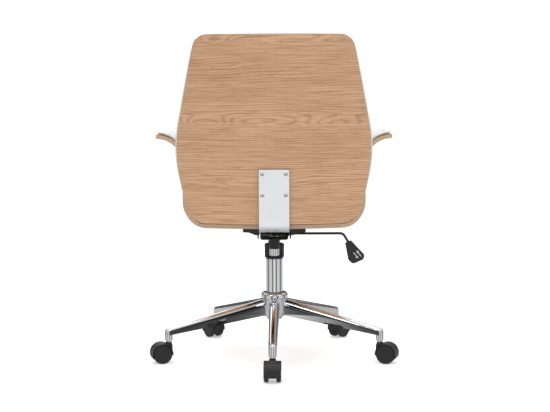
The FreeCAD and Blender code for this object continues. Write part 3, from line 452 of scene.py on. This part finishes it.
def rounded_path(corners, radii, closed, step=math.radians(5), spacing=0.02):
    """A path of short runs through its corners, with a round at each corner that has a radius."""
    corners = [Vector(c) for c in corners]
    count = len(corners)
    points = []
    for i, corner in enumerate(corners):
        inner = closed or 0 < i < count - 1
        if inner and radii[i] > 0:
            points += corner_points(corners[i - 1], corner, corners[(i + 1) % count], radii[i], step)
        else:
            points.append(corner)
    dense = []
    last = len(points) if closed else len(points) - 1
    for i in range(last):
        a, b = points[i], points[(i + 1) % len(points)]
        pieces = max(1, math.ceil((b - a).length / spacing))
        dense += [a.lerp(b, j / pieces) for j in range(pieces)]
    if not closed:
        dense.append(points[-1])
    return dense


def path_normals(path):
    """Unit vectors to the left of an open path."""
    normals = []
    for i in range(len(path)):
        run = path[min(i + 1, len(path) - 1)] - path[max(i - 1, 0)]
        normals.append(Vector((-run.y, run.x)).normalized())
    return normals


def bent_board(name, path, thickness, y_range, across):
    """A board bent along a path in X and Z, whose front and rear edges follow a shape of their own."""
    normals = path_normals(path)
    mesh = bpy.data.meshes.new(name)
    work = bmesh.new()
    grain = work.loops.layers.uv.new("grain")
    rows = {"outer": [], "inner": []}
    lengths = [0.0]
    for a, b in zip(path, path[1:]):
        lengths.append(lengths[-1] + (b - a).length)
    for i, (p, n) in enumerate(zip(path, normals)):
        low, high = y_range(p)
        for side, offset in (("outer", 0.0), ("inner", thickness)):
            at = p + n * offset
            depths = [low + (high - low) * j / across for j in range(across + 1)]
            rows[side].append([work.verts.new((at.x, y, at.y)) for y in depths])

    def face(corners, uvs, material):
        made = work.faces.new(corners)
        made.material_index = material
        for loop, uv in zip(made.loops, uvs):
            loop[grain].uv = uv

    def on_face(i, j, side):
        return lengths[i], rows[side][i][j].co.y

    for i in range(len(path) - 1):
        for j in range(across):
            for side, flip in (("outer", False), ("inner", True)):
                corners = [(i, j), (i, j + 1), (i + 1, j + 1), (i + 1, j)]
                if flip:
                    corners.reverse()
                face([rows[side][a][b] for a, b in corners], [on_face(a, b, side) for a, b in corners], 0)
        for j, flip in ((0, True), (across, False)):
            corners = [("outer", i), ("inner", i), ("inner", i + 1), ("outer", i + 1)]
            if flip:
                corners.reverse()
            uvs = [(lengths[k], 0.0 if side == "outer" else thickness) for side, k in corners]
            face([rows[side][k][j] for side, k in corners], uvs, 1)
    for i, flip in ((0, True), (len(path) - 1, False)):
        for j in range(across):
            corners = [("outer", j), ("outer", j + 1), ("inner", j + 1), ("inner", j)]
            if not flip:
                corners.reverse()
            uvs = [(rows[side][i][k].co.y, 0.0 if side == "outer" else thickness) for side, k in corners]
            face([rows[side][i][k] for side, k in corners], uvs, 1)
    bmesh.ops.recalc_face_normals(work, faces=work.faces)
    work.to_mesh(mesh)
    work.free()
    return mesh


# The back's surface

def back_radius(z, depth=0.0):
    """Distance of the back's face from the wrap's upright axis, at a height and a depth into the board."""
    lower, upper = math.tan(BACK_LOWER_LEAN), math.tan(BACK_UPPER_LEAN)
    half_turn = (BACK_UPPER_LEAN - BACK_LOWER_LEAN) / 2
    reach = BACK_BEND_RADIUS * math.tan(half_turn)
    bend_y = BACK_LOW_Y + (BACK_BEND_Z - BACK_LOW) * lower
    start_z = BACK_BEND_Z - reach * math.cos(BACK_LOWER_LEAN)
    end_z = BACK_BEND_Z + reach * math.cos(BACK_UPPER_LEAN)
    if z < start_z:
        y, lean = bend_y + (z - BACK_BEND_Z) * lower, BACK_LOWER_LEAN
    elif z > end_z:
        y, lean = bend_y + (z - BACK_BEND_Z) * upper, BACK_UPPER_LEAN
    else:
        start_y = bend_y + (start_z - BACK_BEND_Z) * lower
        centre_y = start_y + BACK_BEND_RADIUS * math.cos(BACK_LOWER_LEAN)
        centre_z = start_z - BACK_BEND_RADIUS * math.sin(BACK_LOWER_LEAN)
        lean = math.asin((z - centre_z) / BACK_BEND_RADIUS)
        y = centre_y - BACK_BEND_RADIUS * math.cos(lean)
    return y - depth / math.cos(lean) - WRAP_AXIS_Y


def back_point(x, z, depth=0.0):
    radius = back_radius(z, depth)
    return Vector((x, math.sqrt(radius * radius - x * x) + WRAP_AXIS_Y, z))


def back_outline(grow, spacing=0.012):
    """The back's outline from behind, in X and Z."""
    top_half, wide_half, low_half, wide_z = 0.204, 0.2685, 0.227, 0.598
    corners = [
        (-low_half - grow, BACK_LOW - grow), (low_half + grow, BACK_LOW - grow), (wide_half + grow, wide_z),
        (top_half + grow, BACK_TOP + grow), (-top_half - grow, BACK_TOP + grow), (-wide_half - grow, wide_z),
    ]
    radii = [0.06 + grow, 0.06 + grow, 0.35, 0.04 + grow, 0.04 + grow, 0.35]
    return rounded_path(corners, radii, True, math.radians(6), spacing)


def make_back_shell():
    """The back's bent board, meshed in rings from its outline to its middle."""
    outline = back_outline(0.0)
    middle = Vector((0.0, (BACK_LOW + BACK_TOP) / 2))
    rings = 26
    mesh = bpy.data.meshes.new("back_shell_shown")
    work = bmesh.new()
    grain = work.loops.layers.uv.new("grain")
    layers = []
    for depth in (0.0, PLY):
        grid = []
        for k in range(rings):
            share = 1 - k / rings
            flat = [middle + (p - middle) * share for p in outline]
            grid.append([work.verts.new(back_point(p.x, p.y, depth)) for p in flat])
        hub = work.verts.new(back_point(middle.x, middle.y, depth))
        layers.append((grid, hub))

    def face(verts, material, uvs):
        made = work.faces.new(verts)
        made.material_index = material
        for loop, uv in zip(made.loops, uvs):
            loop[grain].uv = uv

    def on_board(vert):
        return (BACK_WRAP * math.asin(vert.co.x / BACK_WRAP), vert.co.z)

    count = len(outline)
    for grid, hub in layers:
        for i in range(count):
            j = (i + 1) % count
            for k in range(rings - 1):
                verts = [grid[k][i], grid[k][j], grid[k + 1][j], grid[k + 1][i]]
                face(verts, 0, [on_board(v) for v in verts])
            verts = [grid[-1][i], grid[-1][j], hub]
            face(verts, 0, [on_board(v) for v in verts])
    run = 0.0
    rear, front = layers[0][0][0], layers[1][0][0]
    for i in range(count):
        j = (i + 1) % count
        step = (outline[j] - outline[i]).length
        uvs = [(run, 0), (run + step, 0), (run + step, PLY), (run, PLY)]
        face([rear[i], rear[j], front[j], front[i]], 1, uvs)
        run += step
    bmesh.ops.recalc_face_normals(work, faces=work.faces)
    work.to_mesh(mesh)
    work.free()
    obj = new_object("back_shell_shown", mesh, "oak_figured", "ply_edge")
    shade(obj)
    rounded_edges(obj, 0.0012, 2, 50)
    place_piece(obj, "seat", "oak_ply", "back_shell")


# Seat shell and arms

def side_rim(y):
    """Height of the seat shell's upturned side at a place from front to rear."""
    stops = (
        (SEAT_FRONT, SEAT_LOW + 0.016), (-0.14, SEAT_RIM - 0.006), (SEAT_REAR - 0.07, SEAT_RIM),
        (SEAT_REAR, SEAT_RIM - 0.002),
    )
    for (y0, z0), (y1, z1) in zip(stops, stops[1:]):
        if y <= y1:
            return z0 + (z1 - z0) * (y - y0) / (y1 - y0)
    return stops[-1][1]


def seat_front_at(p):
    """The front edge: round corners in plan, and sides that fall away."""
    corner = 0.055
    inside = abs(p.x) - (SEAT_HALF - corner)
    front = SEAT_FRONT
    if inside > 0:
        front += corner - math.sqrt(max(0.0, corner * corner - min(inside, corner) ** 2))
    low, steps = SEAT_FRONT, 60
    for i in range(steps):
        y = SEAT_FRONT + i * (0.2 / steps)
        if side_rim(y) >= p.y:
            low = y
            break
    else:
        low = SEAT_FRONT + 0.2
    return max(front, low)


def seat_rear_at(p):
    reach = BACK_WRAP - PLY - SEAT_BACK_GAP
    return min(SEAT_REAR, WRAP_AXIS_Y + math.sqrt(reach * reach - p.x * p.x))


def make_seat_shell():
    half = SEAT_HALF
    corners = [(-half, SEAT_RIM - 0.001), (-half, SEAT_LOW), (half, SEAT_LOW), (half, SEAT_RIM - 0.001)]
    path = rounded_path(corners, [0, SEAT_CORNER, SEAT_CORNER, 0], False, math.radians(4), 0.012)
    mesh = bent_board("seat_shell_shown", path, PLY, lambda p: (seat_front_at(p), seat_rear_at(p)), 40)
    obj = new_object("seat_shell_shown", mesh, "oak_plain", "ply_edge")
    shade(obj)
    rounded_edges(obj, 0.001, 2, 50)
    place_piece(obj, "seat", "oak_ply", "seat_shell")


def eased(value, low, high):
    return max(0.0, min(1.0, (value - low) / (high - low)))


def arm_range(p, inset=0.0):
    """Front and rear edges of an arm at a place on its path: narrow below, wide above, round at the tip."""
    rear, front_top, front_low, rear_low = 0.078 - inset, -0.182 + inset, -0.084 + inset, 0.052 - inset
    lift = eased(p.y, 0.44, 0.61)
    smooth = lift * lift * (3 - 2 * lift)
    front = front_low + (front_top - front_low) * (0.5 * lift + 0.5 * smooth)
    rise = eased(p.y, 0.45, 0.60)
    back = rear_low + (rear - rear_low) * rise
    out = abs(p.x) - (ARM_TIP - inset)
    for corner, side in ((0.042, "front"), (0.030, "rear")):
        inside = corner + out
        if inside > 0:
            cut = corner - math.sqrt(max(0.0, corner * corner - min(inside, corner) ** 2))
            if side == "front":
                front += cut
            else:
                back -= cut
    return front, back


def tip_stations(path):
    """More stations near the tip, where the corners round off."""
    last, before = path[-1], path[-2]
    run = last - before
    count = 16
    extra = [before + run * (1 - (1 - i / count) ** 2) for i in range(1, count + 1)]
    return path[:-1] + extra


def arm_pieces(side):
    """The arm's bent board, on one side."""
    low = SEAT_LOW - PLY
    corners = [(0.118, low), (ARM_OUTER, low), (ARM_OUTER, ARM_TOP - PLY), (ARM_TIP - 0.0005, ARM_TOP - PLY)]
    path = rounded_path(corners, [0, SEAT_CORNER + PLY, ARM_BEND, 0], False, math.radians(4), 0.014)
    mesh = bent_board(f"arm_{side}_shown", tip_stations(path), PLY, arm_range, 18)
    if side == "right":
        mesh.transform(Matrix.Scale(-1, 4, (1, 0, 0)))
        mesh.flip_normals()
    board = new_object(f"arm_{side}_shown", mesh, "oak_plain", "ply_edge")
    shade(board)
    rounded_edges(board, 0.001, 2, 50)
    place_piece(board, "seat", "oak_ply", f"arm_{side}")


# Padded pieces

def swollen(obj, pinned, pressure, cap):
    """Blows a remeshed pad up a little as cloth, holding the faces that rest on a board."""
    mesh = obj.data
    group = obj.vertex_groups.new(name="held")
    group.add([v.index for v in mesh.vertices if pinned(v.co)], 1.0, "REPLACE")
    rest = [v.co.copy() for v in mesh.vertices]
    cloth = obj.modifiers.new("cloth", "CLOTH")
    cloth.settings.quality = 5
    cloth.settings.mass = 0.3
    cloth.settings.tension_stiffness = 14
    cloth.settings.compression_stiffness = 14
    cloth.settings.shear_stiffness = 6
    cloth.settings.bending_stiffness = 1.5
    cloth.settings.use_pressure = True
    cloth.settings.uniform_pressure_force = pressure
    cloth.settings.effector_weights.gravity = 0
    cloth.settings.vertex_group_mass = "held"
    cloth.point_cache.frame_start = 1
    cloth.point_cache.frame_end = CLOTH_FRAMES
    scene = bpy.context.scene
    for number in range(1, CLOTH_FRAMES + 1):
        scene.frame_set(number)
    graph = bpy.context.evaluated_depsgraph_get()
    posed = obj.evaluated_get(graph).data
    moved = [v.co.copy() for v in posed.vertices]
    obj.modifiers.remove(cloth)
    for vert, start, end in zip(mesh.vertices, rest, moved):
        step = end - start
        length = step.length
        vert.co = start + step * (cap * math.tanh(length / cap) / length if length > 1e-9 else 1.0)
    scene.frame_set(1)


def remeshed(obj, size):
    cells = obj.modifiers.new("cells", "REMESH")
    cells.mode = "VOXEL"
    cells.voxel_size = size
    ease = obj.modifiers.new("ease", "SMOOTH")
    ease.factor = 0.5
    ease.iterations = 4
    settle(obj)


def pressed_seams(obj, depth_at):
    """Draws seams into the pad along its normals."""
    steps = [vert.normal * -depth_at(vert.co) for vert in obj.data.vertices]
    for vert, step in zip(obj.data.vertices, steps):
        vert.co += step


def finer(obj):
    level = obj.modifiers.new("finer", "SUBSURF")
    level.levels = 1
    level.render_levels = 1
    settle(obj)


def pad(node_name, voxel, pinned, pressure, cap, seam):
    obj = cad_copy(node_name, "white_leather")
    remeshed(obj, voxel)
    swollen(obj, pinned, pressure, cap)
    finer(obj)
    pressed_seams(obj, seam)
    obj.data.polygons.foreach_set("use_smooth", [True] * len(obj.data.polygons))
    place_piece(obj, "seat", "white_leather", node_name)
    return obj


def groove(distance, depth, width):
    return depth * math.exp(-(distance / width) ** 2)


def back_depth(co):
    """How far a point lies in front of the back shell's rear face."""
    radius = math.hypot(co.x, co.y - WRAP_AXIS_Y)
    return back_radius(co.z) - radius


def surface(obj):
    mesh = obj.data
    return BVHTree.FromPolygons([v.co for v in mesh.vertices], [list(p.vertices) for p in mesh.polygons])


def make_stitches(name, cushion, starts, heading, along):
    """Short raised threads where rows of rays meet the pad."""
    tree = surface(cushion)
    work = bmesh.new()
    for start in starts:
        spot, normal, _, _ = tree.ray_cast(Vector(start), Vector(heading))
        if spot is None or normal.dot(Vector(heading)) > -0.4:
            continue
        run = (Vector(along) - normal * normal.dot(Vector(along))).normalized()
        turn = Matrix((run, normal.cross(run), normal)).transposed().to_4x4()
        size = Matrix.Diagonal((*STITCH_SIZE, 1.0))
        place = Matrix.Translation(spot + normal * 0.0002) @ turn @ size
        bmesh.ops.create_icosphere(work, subdivisions=2, radius=1.0, matrix=place)
    mesh = bpy.data.meshes.new(name)
    work.to_mesh(mesh)
    work.free()
    obj = new_object(name, mesh, "stitch_thread")
    shade(obj, 180)
    place_piece(obj, "seat", "white_leather")


def make_welt(name, cushion, starts, heading):
    """A piping bead that lies on the pad where a closed row of rays meets it."""
    tree = surface(cushion)
    spots = [tree.ray_cast(Vector(start), Vector(heading))[0] for start in starts]
    spots = [spot for spot in spots if spot is not None]
    data = bpy.data.curves.new(name, "CURVE")
    data.dimensions = "3D"
    data.bevel_depth = WELT_RADIUS
    data.bevel_resolution = 3
    line = data.splines.new("POLY")
    line.points.add(len(spots) - 1)
    for point, spot in zip(line.points, spots):
        point.co = (*spot, 1.0)
    line.use_cyclic_u = True
    data.materials.append(MATERIALS["white_welt"])
    obj = bpy.data.objects.new(name, data)
    bpy.context.scene.collection.objects.link(obj)
    place_piece(obj, "seat", "white_leather")


def stitch_row(half, place):
    """Ray starts along X at an even pitch."""
    count = int(half / STITCH_PITCH)
    return [place(i * STITCH_PITCH) for i in range(-count, count + 1)]


def make_back_cushion():
    def seam(co):
        if back_depth(co) < PLY + 0.012:
            return 0.0
        return sum(groove(co.z - height, depth, SEAM_WIDTH) for height, depth in BACK_SEAMS)

    cushion = pad("back_cushion", 0.006, lambda co: back_depth(co) < PLY + 0.003, 4.0, 0.010, seam)
    starts = []
    for seam_height, _ in BACK_SEAMS:
        for height in (seam_height - STITCH_OFF, seam_height + STITCH_OFF):
            starts += stitch_row(0.235, lambda x: (x, -1.0, height))
    make_stitches("back_stitches", cushion, starts, (0, 1, 0), (1, 0, 0))
    rim = [(p.x, -1.0, p.y) for p in back_outline(-WELT_INSET, 0.006)]
    make_welt("back_welt", cushion, rim, (0, 1, 0))


def make_seat_cushion():
    def seam(co):
        if co.z < 0.445:
            return 0.0
        return groove(co.y - SEAT_SEAM, SEAT_SEAM_DEPTH, SEAM_WIDTH)

    def held(co):
        return co.z < SEAT_LOW + PLY + 0.004 or abs(co.x) > SEAT_HALF - PLY - 0.003

    cushion = pad("seat_cushion", 0.006, held, 4.0, 0.012, seam)
    starts = []
    for place in (SEAT_SEAM - STITCH_OFF, SEAT_SEAM + STITCH_OFF):
        starts += stitch_row(0.215, lambda x: (x, place, 1.0))
    make_stitches("seat_stitches", cushion, starts, (0, 0, -1), (1, 0, 0))


def make_arm_pads():
    for side in ("left", "right"):
        pad(f"arm_pad_{side}", 0.004, lambda co: False, 2.0, 0.002, lambda co: 0.0)


# Hard pieces that keep the solids' shapes

def dress_solids():
    finishes = {
        "chrome": ("chrome", 0.0012), "steel": ("steel", 0.0003),
        "cylinder_steel": ("cylinder_steel", 0.0004),
        "bracket_chrome": ("bracket_chrome", 0.0008), "black_steel": ("black_steel", 0.0005),
        "black_plastic": ("black_plastic", 0.0006), "bump_rubber": ("bump_rubber", 0.0005),
        "caster_grey": ("caster_grey", 0.0012), "wheel_black": ("wheel_black", 0.0008),
    }
    for part in frame["record"]["subparts"]:
        slot = part["material_slot"]
        if slot not in finishes or part["node"] in ("bracket_screws", "tension_spring"):
            continue
        material, width = finishes[slot]
        dressed(part["node"], material, slot, width)


def make_spring():
    """The tilt spring, a smooth copy of its solid shown in place of the hidden solid."""
    obj = cad_copy("tension_spring", "black_steel")
    shade(obj)
    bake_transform(obj)
    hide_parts("tension_spring")


def lean_matrix(x, z):
    """A frame on the bracket's rear face, with its Z axis pointing out of the face."""
    y = BACK_LOW_Y + (z - BACK_LOW) * math.tan(BACK_LOWER_LEAN) + BRACKET_THICK / math.cos(BACK_LOWER_LEAN)
    return Matrix.Translation((x, y, z)) @ Matrix.Rotation(-math.pi / 2 - BACK_LOWER_LEAN, 4, "X")


def make_bracket_screws():
    """Domed screws with a cross recess, over the solids' plain heads."""
    rings, around = 7, 32
    angles = [2 * math.pi * i / around for i in range(around)]
    places = [(x, z) for x in (-SCREW_HALF, SCREW_HALF) for z in SCREW_ROWS]
    domes, cuts = bmesh.new(), bmesh.new()
    for number, (x, z) in enumerate(places):
        place = lean_matrix(x, z)
        last = None
        for k in range(rings + 1):
            tilt = math.pi / 2 * k / rings
            radius, level = SCREW_HEAD * math.cos(tilt), SCREW_RISE * math.sin(tilt)
            if k == rings:
                top = domes.verts.new(place @ Vector((0, 0, level)))
                for i in range(around):
                    domes.faces.new((last[i], last[(i + 1) % around], top))
                continue
            flat = [Vector((radius * math.cos(a), radius * math.sin(a), level)) for a in angles]
            ring = [domes.verts.new(place @ corner) for corner in flat]
            if last:
                for i in range(around):
                    j = (i + 1) % around
                    domes.faces.new((last[i], last[j], ring[j], ring[i]))
            else:
                domes.faces.new(reversed(ring))
            last = ring
        for quarter in (0, 1):
            spin = Matrix.Rotation(math.pi / 2 * quarter + 0.5 + number * 0.7, 4, "Z")
            size = Matrix.Diagonal((2 * RECESS_LONG, RECESS_WIDE, 2 * SCREW_RISE, 1))
            lift = Matrix.Translation((0, 0, RECESS_FLOOR + SCREW_RISE))
            bmesh.ops.create_cube(cuts, size=1.0, matrix=place @ lift @ spin @ size)
    for work in (domes, cuts):
        bmesh.ops.recalc_face_normals(work, faces=work.faces)
    shapes = []
    for name, work in (("bracket_screws_shown", domes), ("screw_slots", cuts)):
        mesh = bpy.data.meshes.new(name)
        work.to_mesh(mesh)
        work.free()
        shapes.append(new_object(name, mesh, "steel"))
    heads, cutter = shapes
    carve = heads.modifiers.new("recess", "BOOLEAN")
    carve.object = cutter
    carve.solver = "EXACT"
    carve.use_self = True
    settle(heads)
    bpy.data.objects.remove(cutter)
    shade(heads, 35)
    place_piece(heads, "seat", "steel", "bracket_screws")


def make_lever_sign():
    """A raised mark on the lever's paddle: an arrow up and an arrow down."""
    neck = ARROW_TIP - ARROW_HEAD
    outline = [
        (-ARROW_SHAFT, -ARROW_TIP), (ARROW_SHAFT, -ARROW_TIP), (ARROW_SHAFT, neck), (ARROW_WIDE, neck),
        (0, ARROW_TIP), (-ARROW_WIDE, neck), (-ARROW_SHAFT, neck),
    ]
    cosine, sine = math.cos(SIGN_TURN), math.sin(SIGN_TURN)
    work = bmesh.new()
    for face_side in (1, -1):
        for way in (1, -1):
            corners = []
            for a, b in outline:
                a, b = a * way + ARROWS_APART * way, b * way
                x = a * cosine - b * sine
                z = a * sine + b * cosine
                corners.append((SIGN_CENTRE.x - x, SIGN_CENTRE.z + z))
            rings = []
            for level in (SIGN_OUT - SIGN_RAISED, SIGN_OUT + SIGN_RAISED):
                rings.append([work.verts.new((x, level * face_side, z)) for x, z in corners])
            work.faces.new(rings[0])
            work.faces.new(rings[1])
            for i in range(len(corners)):
                j = (i + 1) % len(corners)
                work.faces.new((rings[0][i], rings[0][j], rings[1][j], rings[1][i]))
    bmesh.ops.recalc_face_normals(work, faces=work.faces)
    mesh = bpy.data.meshes.new("lever_sign")
    work.to_mesh(mesh)
    work.free()
    place_piece(new_object("lever_sign", mesh, "print_grey"), "lever", "black_plastic")


# Studio

def make_floor():
    mesh = bpy.data.meshes.new("studio_floor")
    work = bmesh.new()
    bmesh.ops.create_circle(work, cap_ends=True, segments=96, radius=FLOOR_RADIUS)
    work.to_mesh(mesh)
    work.free()
    floor = new_object("studio_floor", mesh, "floor_pale")
    floor.visible_glossy = False


def make_world():
    """Plain white to the camera, and to light and reflections a bright room with dark flags."""
    world = bpy.data.worlds.new("studio")
    bpy.context.scene.world = world
    world.use_nodes = True
    tree = world.node_tree
    tree.nodes.clear()
    facing = node(tree, "ShaderNodeTexCoord").outputs["Generated"]
    axes = node(tree, "ShaderNodeSeparateXYZ", {"Vector": facing})
    turn = calc(tree, "ARCTAN2", axes.outputs["X"], axes.outputs["Y"])
    share = calc(tree, "DIVIDE", calc(tree, "ABSOLUTE", turn), math.pi)
    flags = ramp(tree, share, (
        (0.0, 1.25), (0.055, 1.15), (0.080, 0.40), (0.11, 0.80), (0.135, 0.08), (0.170, 0.10), (0.20, 1.0),
        (0.30, 1.0), (0.44, 0.80),
        (0.475, 0.10), (0.525, 0.16), (0.56, 0.70), (0.78, 0.95), (0.86, 0.35), (0.92, 0.90), (1.0, 0.85),
    ))
    height = calc(tree, "MULTIPLY_ADD", axes.outputs["Z"], 0.5, 0.5)
    levels = ramp(tree, height, (
        (0.0, 0.70), (0.26, 0.80), (0.33, 1.0), (0.42, 0.95), (0.50, 0.80), (0.545, 0.70), (0.565, 0.06),
        (0.64, 0.05), (0.68, 0.50), (0.80, 0.90), (1.0, 1.0),
    ))
    above = ramp(tree, height, ((0.60, 0.0), (0.72, 1.0)))
    room = mixed(tree, above, flags, (1.0, 1.0, 1.0))
    room = mixed(tree, 1.0, room, levels, "MULTIPLY")
    seen = node(tree, "ShaderNodeLightPath").outputs["Is Camera Ray"]
    colour = mixed(tree, seen, room, (1.2, 1.2, 1.2))
    light = node(tree, "ShaderNodeBackground", {"Color": colour, "Strength": 0.9})
    out = node(tree, "ShaderNodeOutputWorld")
    tree.links.new(light.outputs[0], out.inputs[0])


def area_light(name, place, target, width, height, power):
    lamp = bpy.data.lights.new(name, "AREA")
    lamp.shape = "RECTANGLE"
    lamp.size, lamp.size_y, lamp.energy = width, height, power
    obj = bpy.data.objects.new(name, lamp)
    obj.location = place
    obj.rotation_euler = (Vector(target) - Vector(place)).to_track_quat("-Z", "Y").to_euler()
    bpy.context.scene.collection.objects.link(obj)


def make_lights():
    area_light("key_light", (1.8, 3.0, 2.6), (0, 0, 0.55), 1.6, 1.6, 24)
    area_light("fill_light", (-2.2, 2.4, 1.8), (0, 0, 0.5), 1.8, 1.8, 15)
    area_light("front_light", (0.6, -3.0, 2.2), (0, 0, 0.5), 2.0, 1.6, 14)
    area_light("top_light", (0, -0.2, 3.2), (0, 0, 0.5), 3.0, 3.0, 54)


def make_camera():
    data = bpy.data.cameras.new("photo_camera")
    data.sensor_width = SENSOR
    data.lens = FOCAL_PIXELS / PHOTO_WIDTH * SENSOR
    camera = bpy.data.objects.new("photo_camera", data)
    look = Vector((0, -math.cos(CAMERA_PITCH), -math.sin(CAMERA_PITCH)))
    turn = look.to_track_quat("-Z", "Y").to_matrix()
    rolled = turn @ Matrix.Rotation(CAMERA_ROLL, 3, "Z")
    camera.matrix_world = Matrix.Translation(CAMERA_AT) @ rolled.to_4x4()
    bpy.context.scene.collection.objects.link(camera)
    bpy.context.scene.camera = camera


make_materials()
make_camera()
make_world()
make_lights()
make_floor()
make_back_shell()
make_seat_shell()
arm_pieces("left")
arm_pieces("right")
make_back_cushion()
make_seat_cushion()
make_arm_pads()
dress_solids()
make_spring()
make_bracket_screws()
make_lever_sign()

bpy.context.scene.view_settings.view_transform = "Standard"
